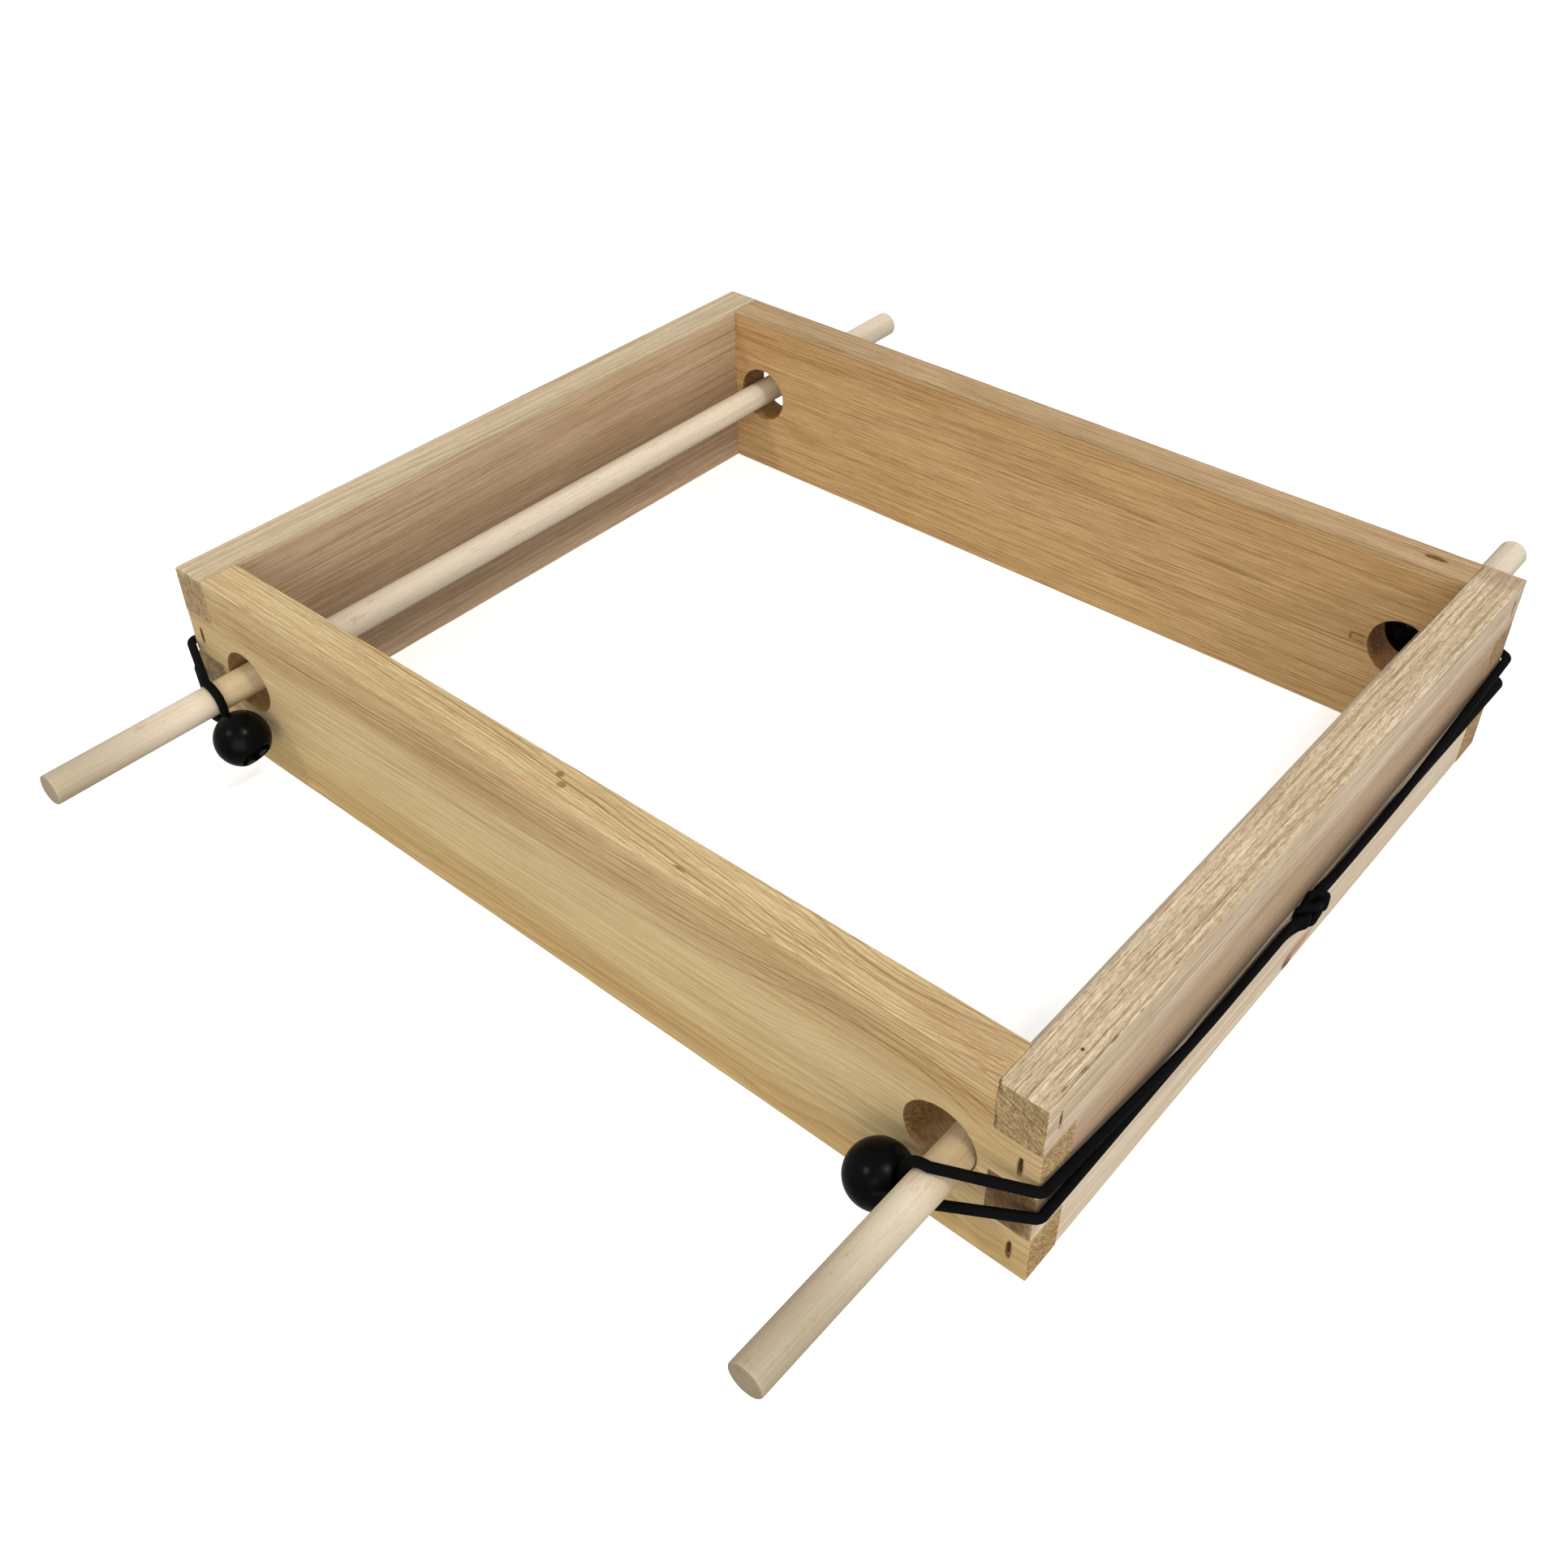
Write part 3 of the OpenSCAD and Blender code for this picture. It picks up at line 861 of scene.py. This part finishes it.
def cut_away(board, cutters):
    """Cuts all the lumps out of the board and keeps the result as its mesh."""
    lumps = bmesh.new()
    for mesh in cutters:
        lumps.from_mesh(mesh)
    tool = add_object("lumps", as_mesh(lumps, "lumps"))
    cut = board.modifiers.new("cut", "BOOLEAN")
    cut.object = tool
    cut.operation = "DIFFERENCE"
    cut.solver = "EXACT"
    cut.use_self = True
    graph = bpy.context.evaluated_depsgraph_get()
    result = bpy.data.meshes.new_from_object(board.evaluated_get(graph))
    board.modifiers.clear()
    board.data = result
    bpy.data.objects.remove(tool)


def worked(board, cutters, wood):
    """The board as it left the bench: never quite flat, with its slots and torn spots cut."""
    for v in board.data.vertices:
        v.co += noise.noise_vector(v.co / 0.012) * 0.00010
    cut_away(board, cutters)
    board.data.set_sharp_from_angle(angle=math.radians(38))
    weighted = board.modifiers.new("flats", "WEIGHTED_NORMAL")
    weighted.keep_sharp = True
    weighted.weight = 80
    board.data.materials.clear()
    board.data.materials.append(wood)


def timber(
    name, grain, pith, ring, bands, ring_tint, end_tint, warp=1.0, lean=(0.0, 0.0), swells=(),
    marks=(), contrast=1.0, seed=0.0, fuzz=1.0, drift=(0.0, 0.0), rough=0.0, bores=(), calm=0.0,
):
    """Solid wood. Growth rings run round a pith line, so faces, edges and end grain agree.

    grain is "x" or "y", the way u runs; v and w are across it, all in mm. pith is (v, w) of
    the pith line and lean its slope, ring the rings' width and warp how much they wander.
    bands are (height, colour) stops up the board, and drift their slope along and through it.
    ring_tint and contrast are the late wood's colour and strength, end_tint the end grain's.
    swells are (u, w, length, height, rise) where rings bend round a knot; marks are
    (u, v, w, radii, colour, strength); bores are (u, w, radius) of holes whose walls are
    darkened, partly the bored wall's own browner end grain and partly painted shade.
    fuzz is the strength of the fine fibres, calm how far rings and fibres fade low down, and
    rough how deep the saw left its furrows in the top edge."""
    finish = Finish(name, Metallic=0.0)
    x, y, w = finish.millimetres()
    u, v = (x, y) if grain == "x" else (y, x)

    def stretched(along, across, shift=0.0):
        return finish.point(
            finish.times_plus(u, along, seed + shift),
            finish.times(v, across), finish.times(w, across),
        )

    def distance(du, dw):
        return finish.math("SQRT", finish.plus(finish.times(du, du), finish.times(dw, dw)))

    wander = finish.speckle(stretched(0.0035, 0.012), 1.0, 1.0, 0.5)
    ripple = finish.speckle(stretched(0.028, 0.035, 7.0), 1.0, 2.0, 0.5)
    across_v = finish.minus(finish.times_plus(u, -lean[0], v), pith[0])
    across_w = finish.minus(finish.times_plus(u, -lean[1], w), pith[1])
    out = distance(across_v, across_w)
    out = finish.times_plus(wander, warp * 8, out)
    out = finish.times_plus(ripple, warp * 0.9, out)
    for su, sw, long, tall, rise in swells:
        du = finish.math("DIVIDE", finish.minus(u, su), long)
        dw = finish.math("DIVIDE", finish.minus(w, sw), tall)
        reach = finish.plus(finish.times(du, du), finish.times(dw, dw))
        hump = finish.math("EXPONENT", finish.times(reach, -1.0))
        out = finish.times_plus(hump, rise, out)
    years = finish.speckle(finish.point(finish.times(out, 0.3), seed, 0.0), 1.0, 2.0)
    count = finish.times_plus(years, 2.6, finish.math("DIVIDE", out, ring))
    whole = finish.math("FLOOR", count)
    part = finish.math("FRACT", count)
    vigour = finish.add("TexWhiteNoise", None, whole, noise_dimensions="1D")
    late = finish.ramp(part, [
        (0.0, (0.3, 0.3, 0.3)), (0.09, (0, 0, 0)), (0.5, (0.08, 0.08, 0.08)),
        (0.78, (0.5, 0.5, 0.5)), (0.91, (1, 1, 1)), (1.0, (0.3, 0.3, 0.3)),
    ])
    patch = finish.speckle(stretched(0.008, 0.05, 21.0), 1.0, 3.0, 0.55)
    strength = finish.times(finish.times_plus(vigour, 0.75, 0.25), contrast)
    strength = finish.times(strength, finish.span(patch, 0.3, 0.7, 0.55, 1.25))
    lively = finish.times_plus(finish.clamped(w, 84.0, 62.0), -calm, 1.0)
    late_wood = finish.times(finish.times(late, strength), lively)
    fuzz = finish.times(lively, fuzz)

    height = finish.times_plus(u, drift[0], w)
    height = finish.times_plus(v, drift[1], height)
    height = finish.times_plus(finish.minus(patch, 0.5), 7.0, height)
    tone = finish.ramp(finish.math("DIVIDE", height, FRAME_TOP / MM), [
        (stop / (FRAME_TOP / MM), shade) for stop, shade in bands
    ])
    cloud = finish.speckle(stretched(0.01, 0.07, 40.0), 1.0, 3.0, 0.6)
    tone = finish.tint(tone, finish.clamped(cloud, 0.4, 0.75), (0.90, 0.86, 0.80))
    streak = finish.speckle(stretched(0.007, 0.75, 3.0), 1.0, 4.0, 0.65)
    tone = finish.tint(tone, finish.clamped(streak, 0.42, 0.72), (0.80, 0.73, 0.64))
    tone = finish.tint(tone, finish.clamped(streak, 0.5, 0.22), (1.07, 1.06, 1.04))
    tone = finish.tint(tone, late_wood, ring_tint)
    fibre = finish.speckle(stretched(0.11, 4.6, 11.0), 1.0, 3.0, 0.65)
    hairs = finish.times(finish.clamped(fibre, 0.42, 0.72), fuzz)
    tone = finish.tint(tone, hairs, (0.76, 0.70, 0.62))
    strand = finish.speckle(stretched(0.028, 1.9, 51.0), 1.0, 3.0, 0.6)
    lines = finish.times(finish.clamped(strand, 0.48, 0.68), fuzz)
    tone = finish.tint(tone, lines, (0.70, 0.62, 0.51))
    tone = finish.tint(tone, finish.clamped(strand, 0.5, 0.3), (1.12, 1.11, 1.09))
    furrow = 0.0
    if rough:
        upward = finish.clamped(finish.apart(finish.place("Normal"))[2], 0.6, 0.9)
        saw = finish.point(finish.times(u, 0.03), finish.times(v, 0.72), seed)
        saw = finish.speckle(saw, 1.0, 4.0, 0.66)
        torn = finish.point(finish.times(u, 0.25), finish.times(v, 0.95), seed + 3.0)
        torn = finish.speckle(torn, 1.0, 3.0, 0.7)
        furrow = finish.times(finish.clamped(saw, 0.5, 0.66), upward)
        tone = finish.tint(tone, finish.times(furrow, 0.6 * rough), (0.72, 0.62, 0.50))
        tatter = finish.times(finish.clamped(torn, 0.5, 0.7), upward)
        tone = finish.tint(tone, finish.times(tatter, 0.85 * rough), (0.76, 0.67, 0.56))
        pale = finish.times(finish.clamped(torn, 0.48, 0.3), upward)
        tone = finish.tint(tone, finish.times(pale, 0.8 * rough), (1.14, 1.13, 1.12))
        furrow = finish.times(finish.plus(furrow, tatter), rough)
    for mu, mv, mw, radii, shade, depth in marks:
        spots = [
            finish.math("DIVIDE", finish.minus(axis, centre), size)
            for axis, centre, size in ((u, mu, radii[0]), (v, mv, radii[1]), (w, mw, radii[2]))
        ]
        reach = finish.times(spots[0], spots[0])
        for spot in spots[1:]:
            reach = finish.times_plus(spot, spot, reach)
        reach = finish.times_plus(finish.minus(fibre, 0.5), 0.8, reach)
        cover = finish.times(finish.clamped(reach, 1.3, 0.2), depth)
        tone = finish.mix(cover, tone, shade)
    # The hole walls are darkened: partly the bored wall's own browner end grain, partly painted
    # shade inside the holes.
    for bu, bw, bore_r in bores:
        off = distance(finish.minus(u, bu), finish.minus(w, bw))
        wall = finish.clamped(off, bore_r + 0.35, bore_r + 0.1)
        tone = finish.tint(tone, wall, (0.66, 0.57, 0.47))
    facing = finish.apart(finish.place("Normal"))[0 if grain == "x" else 1]
    sawn = finish.clamped(finish.math("ABSOLUTE", facing), 0.55, 0.85)
    hatch = finish.point(
        finish.times(finish.plus(v, w), 0.95), finish.times(finish.minus(v, w), 0.26),
        finish.times_plus(u, 0.3, seed),
    )
    pores = finish.speckle(hatch, 1.0, 4.0, 0.72)
    light, dark = (tuple(c * share for c in end_tint) for share in (1.24, 0.56))
    tone = finish.tint(tone, sawn, finish.mix(finish.clamped(pores, 0.36, 0.62), light, dark))
    finish.set("Base Color", tone)
    finish.set("Roughness", finish.span(fibre, 0.25, 0.75, 0.5, 0.72))
    finish.set("Specular IOR Level", 0.35)
    depth = finish.times_plus(strand, 0.5, finish.times(fibre, 0.5))
    depth = finish.times_plus(late, 0.3, depth)
    depth = finish.times_plus(finish.times(sawn, pores), -3.5, depth)
    depth = finish.times_plus(furrow, -1.8, depth)
    finish.relief(depth, 0.0001)
    return finish.material


BOARD_THICK = 20 * MM
HOLE_R = 15.875 * MM
HOLE_INSET = 41 * MM
STAPLE_INSET = 8 * MM
FINGER = FRAME_TOP / 4
LONG = 2 * FRAME_X
WIDE = 2 * FRAME_Y
HOLES = [(side * (FRAME_X - HOLE_INSET), FRAME_TOP / 2, HOLE_R) for side in (-1, 1)]
BORES = [(u / MM, w / MM, r / MM) for u, w, r in HOLES]


def slot_marks(places):
    """The torn brown wood round the slots, for timber's marks."""
    return [(u, v, w, (1.5, 2.4, 5.6), colour(98, 66, 38), 0.85) for u, v, w in places]


def long_board_slots(sy):
    return [
        staple_slot((sx * (FRAME_X - STAPLE_INSET), sy * FRAME_Y, (level + 0.5) * FINGER), "y")
        for sx in (-1, 1) for level in (0, 2)
    ]


front = jointed_board(
    "front_softwood_board", LONG, (0, 2), HOLES, lambda u, v, w: (u, -FRAME_Y + v, w),
    proud=(0.0001, -0.0002, -0.0003, 0.0001),
)
worked(front, long_board_slots(-1) + [
    nick((222.6, -191, 97.6), (3.0, 1.2, 1.1), 20, 1.0),
    nick((79, -193, 97.4), (2.2, 0.7, 0.6), 0, 2.0),
    nick((9, -187, 97.3), (1.6, 0.8, 0.5), 30, 3.0),
], timber(
    "front_board_softwood", "x", (-100.0, -14.0), 1.25,
    [(0, colour(208, 178, 122)), (13, colour(202, 170, 114)), (30, colour(216, 192, 142)),
     (60, colour(215, 191, 143)), (76, colour(204, 176, 128)), (90, colour(214, 187, 139)),
     (97, colour(222, 199, 153))],
    (0.58, 0.46, 0.32), (0.92, 0.87, 0.84), warp=1.3, lean=(0.0, 0.035),
    swells=[(175, 78, 55, 40, -9.0), (228, 50, 22, 30, 5.0)],
    marks=[
        (-3.7, -197, 97, (4.5, 1.8, 1.8), colour(216, 164, 124), 0.5),
        (3.4, -184, 97, (2.2, 1.9, 1.5), colour(128, 102, 44), 0.85),
        (8.5, -188, 97, (2.5, 2.1, 1.5), colour(140, 112, 54), 0.85),
        (77, -192.6, 97, (3.4, 0.9, 1.0), colour(120, 86, 50), 0.7),
        (215, -190, 98, (36, 14, 4), colour(158, 118, 80), 0.3),
    ] + slot_marks((x, -197.5, z) for x in (-237, 237) for z in (12.1, 60.6)),
    seed=3.0, contrast=1.3, rough=0.4, bores=BORES, calm=0.6,
))
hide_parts("front_board")
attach(front, "frame")


# ---------------------------------------------------------------- back board
# The same board at the back, from a browner plank with finer rings. A piece of bark left
# a small void in its top edge, and the face is torn beside its right hole.
back = jointed_board(
    "back_softwood_board", LONG, (0, 2), HOLES, lambda u, v, w: (u, FRAME_Y - v, w),
    proud=(-0.0002, 0.0001, 0.0002, -0.0001),
)
worked(back, long_board_slots(1) + [
    nick((205.5, 188.4, 97.6), (5.4, 1.5, 2.4), 6, 4.0),
    nick((183.5, 177.3, 48.6), (4.5, 0.5, 0.6), 0, 5.0),
    nick((184.5, 177.3, 44.6), (4.0, 0.5, 0.7), 0, 6.0),
], timber(
    "back_board_softwood", "x", (420.0, -260.0), 1.25,
    [(0, colour(226, 188, 132)), (20, colour(225, 188, 133)), (45, colour(222, 186, 134)),
     (70, colour(214, 178, 127)), (92, colour(206, 170, 119)), (97, colour(200, 173, 134))],
    (0.62, 0.51, 0.37), (0.76, 0.76, 0.78), lean=(0.0, 0.02),
    swells=[(110, 55, 90, 20, -4.0)],
    marks=[
        (205.5, 188.4, 97, (6.2, 1.9, 2.4), colour(98, 64, 32), 0.95),
        (183.5, 177.5, 48.6, (5.5, 2.0, 0.8), colour(122, 84, 48), 0.7),
        (184.5, 177.5, 44.6, (5.0, 2.0, 0.9), colour(122, 84, 48), 0.6),
        (179.6, 177.5, 46.6, (1.1, 2.0, 2.8), colour(132, 94, 54), 0.7),
        (113, 177.5, 57, (26, 3, 1.6), colour(128, 92, 54), 0.4),
    ] + slot_marks((x, 197.5, z) for x in (-237, 237) for z in (12.1, 60.6)),
    seed=19.0, contrast=0.95, rough=0.25, bores=BORES,
))
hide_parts("back_board")
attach(back, "frame")


# ---------------------------------------------------------------- left end board
# A short board whose fingers fill the notches of the long ones. Its wood is pale along
# the edges, with greyish brown heartwood between.
def end_board_slots(sx):
    return [
        staple_slot((sx * FRAME_X, sy * (FRAME_Y - STAPLE_INSET), (level + 0.5) * FINGER), "x")
        for sy in (-1, 1) for level in (1, 3)
    ]


left = jointed_board(
    "left_softwood_board", WIDE, (1, 3), [], lambda u, v, w: (-FRAME_X + v, u, w),
    proud=(0.0002, 0.0003, -0.0001, 0.0002),
)
worked(left, end_board_slots(-1), timber(
    "left_board_softwood", "y", (-330.0, -120.0), 1.5,
    [(0, colour(206, 181, 151)), (16, colour(189, 163, 134)), (40, colour(193, 168, 139)),
     (56, colour(178, 152, 123)), (72, colour(200, 175, 146)), (93, colour(204, 179, 147)),
     (97, colour(216, 201, 171))],
    (0.66, 0.56, 0.44), (0.90, 0.88, 0.72), lean=(0.0, 0.012), fuzz=0.75,
    marks=slot_marks((y, -247.5, z) for y in (-189.5, 189.5) for z in (36.4, 84.9)),
    seed=31.0, contrast=0.85, rough=0.25,
))
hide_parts("left_end_board")
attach(left, "frame")


# ---------------------------------------------------------------- right end board
# The matching board on the right, left rough from the saw along its top edge. Its outer face
# is cream above and below, with a dark brown band behind the cords, darkest at its lower edge.
right = jointed_board(
    "right_softwood_board", WIDE, (1, 3), [], lambda u, v, w: (FRAME_X - v, u, w),
    cell=0.0025, edge_cell=0.001, proud=(0.0004, 0.0006, 0.0001, 0.0002),
)
for v in right.data.vertices:
    share = min(1, max(0, (v.co.z - (FRAME_TOP - 0.0012)) / 0.0012))
    furrow = noise.noise(Vector((v.co.x * 420, v.co.y * 14, 1.0))) * 0.00022
    furrow += noise.noise(Vector((v.co.x * 900, v.co.y * 120, 2.0))) * 0.00012
    v.co.z += furrow * share
worked(right, end_board_slots(1) + [
    nick((224.2, -198.0, 76.6), (2.6, 1.7, 3.9), 0, 7.0),
    nick((225.0, -198.0, 95.2), (2.0, 1.6, 2.8), 0, 8.0),
    nick((238.8, -169.0, 97.4), (0.5, 0.7, 0.8), 0, 9.0),
    nick((243.7, -180.0, 97.3), (0.22, 4.5, 0.5), 2.5, 10.0),
    nick((244.2, -166.0, 97.3), (0.2, 5.5, 0.5), -1.0, 11.0),
    nick((244.7, -151.0, 97.3), (0.22, 4.0, 0.5), 2.0, 14.0),
    nick((242.0, -197.8, 74.5), (3.4, 0.9, 1.0), 0, 12.0),
    nick((245.0, -188.3, 80.6), (1.2, 0.9, 0.8), 0, 13.0),
], timber(
    "right_board_softwood", "y", (60.0, -420.0), 1.9,
    [(0, colour(236, 220, 197)), (41, colour(236, 220, 197)), (43, colour(112, 92, 74)),
     (48, colour(134, 113, 91)), (56, colour(180, 154, 126)), (63, colour(196, 170, 142)),
     (72, colour(204, 178, 149)), (79, colour(230, 214, 190)), (93, colour(230, 214, 190)),
     (97, colour(228, 212, 184))],
    (0.62, 0.51, 0.38), (0.66, 0.575, 0.395), lean=(0.012, 0.0),
    drift=(-0.012, 0.0),
    marks=[
        (193, 236, 97, (12, 14, 3), colour(150, 118, 88), 0.45),
        (-197, 234, 30, (9, 12, 11), colour(134, 101, 60), 0.85),
        (-197, 234, 42, (9, 12, 11), colour(134, 101, 60), 0.85),
        (0.5, 245, 4.0, (5.0, 4, 4.5), colour(96, 62, 48), 0.95),
        (9.0, 245, 6.5, (14.0, 3, 4.0), colour(180, 136, 110), 0.8),
        (-169.0, 238.8, 97, (0.9, 0.8, 1.0), colour(60, 46, 34), 0.9),
        (-166.0, 244.3, 97, (22.0, 0.5, 1.0), colour(96, 80, 62), 0.55),
        (-187.0, 243.2, 97, (2.0, 0.45, 1.0), colour(84, 66, 46), 0.75),
        (-176.0, 243.8, 97, (2.6, 0.4, 1.0), colour(84, 66, 46), 0.75),
        (-158.0, 244.6, 97, (3.4, 0.4, 1.0), colour(84, 66, 46), 0.7),
        (-141.0, 245.0, 97, (2.0, 0.45, 1.0), colour(96, 76, 54), 0.6),
    ] + slot_marks((y, 247.5, z) for y in (-189.5, 189.5) for z in (36.4, 84.9)),
    seed=47.0, fuzz=1.2, rough=1.0, calm=0.6,
))
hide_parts("right_end_board")
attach(right, "frame")


# ---------------------------------------------------------------- staples
# Narrow-crown staples of dull steel wire, shot through each finger into the board behind
# it. Their crowns sit just below the wood, upright in the slots that they made.
CROWN = 9.2 * MM
LEG = 22 * MM
WIRE = 1.2 * MM
SINK = 0.8 * MM


def staple_shape():
    """One staple driven along +y from a face on y = 0: a bent strip of flattened wire."""
    bend = 1.1 * MM
    inner = CROWN / 2 - WIRE / 2
    path = [(LEG, -inner)]
    for step in range(7):
        turn = math.radians(270 - 15 * step)
        path.append((
            SINK + WIRE / 2 + bend + bend * math.cos(turn), -inner + bend + bend * math.sin(turn)
        ))
    path += [(y, -z) for y, z in reversed(path)]
    shape = bmesh.new()
    rings = []
    for index, (y, z) in enumerate(path):
        ahead = path[min(index + 1, len(path) - 1)]
        behind = path[max(index - 1, 0)]
        run = Vector((ahead[0] - behind[0], ahead[1] - behind[1])).normalized()
        side = Vector((-run.y, run.x)) * WIRE * 0.42
        ring = []
        for across, out in ((-1, -1), (1, -1), (1, 1), (-1, 1)):
            ring.append(shape.verts.new((across * WIRE * 0.48, y + side.x * out, z + side.y * out)))
        rings.append(ring)
    for one, two in zip(rings, rings[1:]):
        band(shape, one, two)
    shape.faces.new(rings[0])
    shape.faces.new(rings[-1][::-1])
    bmesh.ops.recalc_face_normals(shape, faces=shape.faces)
    sharp = [e for e in shape.edges if len(e.link_faces) == 2 and e.calc_face_angle() > 1]
    bmesh.ops.bevel(shape, geom=sharp, offset=0.2 * MM, segments=2, profile=0.5, affect="EDGES")
    for face in shape.faces:
        face.smooth = True
    return shape


def steel_finish():
    finish = Finish("dull_staple_wire", Metallic=0.3)
    tarnish = finish.speckle(finish.place(), 700.0, 3.0, 0.6)
    finish.set("Base Color", finish.ramp(tarnish, [
        (0.35, colour(72, 44, 26)), (0.7, colour(96, 66, 44)),
    ]))
    finish.set("Roughness", finish.span(tarnish, 0.3, 0.7, 0.6, 0.85))
    finish.relief(tarnish, 0.00005)
    return finish.material


steel = steel_finish()
for sx, sy in CORNERS:
    corner = corner_name(sx, sy)
    group = bmesh.new()
    for level in range(4):
        single = staple_shape()
        height = (level + 0.5) * FINGER
        if level % 2 == 0:
            turn = Matrix.Rotation(math.pi if sy > 0 else 0, 4, "Z")
            spot = Vector((sx * (FRAME_X - STAPLE_INSET), sy * FRAME_Y, height))
        else:
            turn = Matrix.Rotation(sx * math.pi / 2, 4, "Z")
            spot = Vector((sx * FRAME_X, sy * (FRAME_Y - STAPLE_INSET), height))
        single.transform(Matrix.Translation(spot) @ turn)
        mesh = as_mesh(single, "staple")
        group.from_mesh(mesh)
        bpy.data.meshes.remove(mesh)
    mesh = as_mesh(group, corner + "_wire_staples")
    mesh.materials.append(steel)
    staples = add_object(corner + "_wire_staples", mesh)
    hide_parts(corner + "_staples")
    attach(staples, "frame")


# ---------------------------------------------------------------- studio
# A plain white floor under soft light: a broad window lamp low on the front right, one lamp
# from the front left and one high on the right, with a white room all round.
def lamp(name, toward, distance, size, power, tint=(1, 1, 1)):
    data = bpy.data.lights.new(name, "AREA")
    data.shape = "SQUARE"
    data.size = size
    data.energy = power
    data.color = tint
    light = bpy.data.objects.new(name, data)
    aim = Vector((0, 0, 0.05))
    light.location = aim + Vector(toward).normalized() * distance
    light.rotation_euler = (aim - light.location).to_track_quat("-Z", "Y").to_euler()
    bpy.context.scene.collection.objects.link(light)


lamp("window", (0.62, -0.76, 0.2), 4.0, 3.0, 84)
lamp("front_lamp", (-0.265, -0.69, 0.663), 4.0, 0.4, 25, (1.0, 0.985, 0.96))
lamp("side_lamp", (0.517, -0.078, 0.847), 4.0, 0.6, 46, (1.0, 0.985, 0.96))

# The walls are greyer below, so that the boards' sides fall into soft shade.
room = bpy.data.worlds.new("white_room")
room.use_nodes = True
nodes = room.node_tree.nodes
sky, height, up, walls = (nodes.new("ShaderNode" + kind) for kind in (
    "TexCoord", "SeparateXYZ", "Math", "ValToRGB"
))
up.operation = "MULTIPLY_ADD"
up.inputs[1].default_value = 0.5
up.inputs[2].default_value = 0.5
low_wall, high_wall = walls.color_ramp.elements
low_wall.position, low_wall.color = 0.3, (0.42, 0.415, 0.405, 1)
high_wall.position, high_wall.color = 0.55, (0.62, 0.62, 0.62, 1)
for out, into in (
    (sky.outputs["Generated"], height), (height.outputs[2], up), (up.outputs[0], walls),
    (walls.outputs[0], nodes["Background"]),
):
    room.node_tree.links.new(out, into.inputs[0])
bpy.context.scene.world = room

ground = bmesh.new()
bmesh.ops.create_grid(ground, x_segments=8, y_segments=8, size=6)
bmesh.ops.translate(ground, verts=ground.verts, vec=(0, 0, -0.1 * MM))
floor = add_object("white_floor", as_mesh(ground, "white_floor"))
paper = Finish("white_paper", Base_Color=(0.9, 0.9, 0.9, 1), Roughness=0.9)
paper.set("Emission Color", (1, 1, 1, 1))
paper.set("Emission Strength", 0.5)
floor.data.materials.append(paper.material)
floor.visible_diffuse = False
floor.visible_glossy = False
floor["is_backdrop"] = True

low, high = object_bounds()
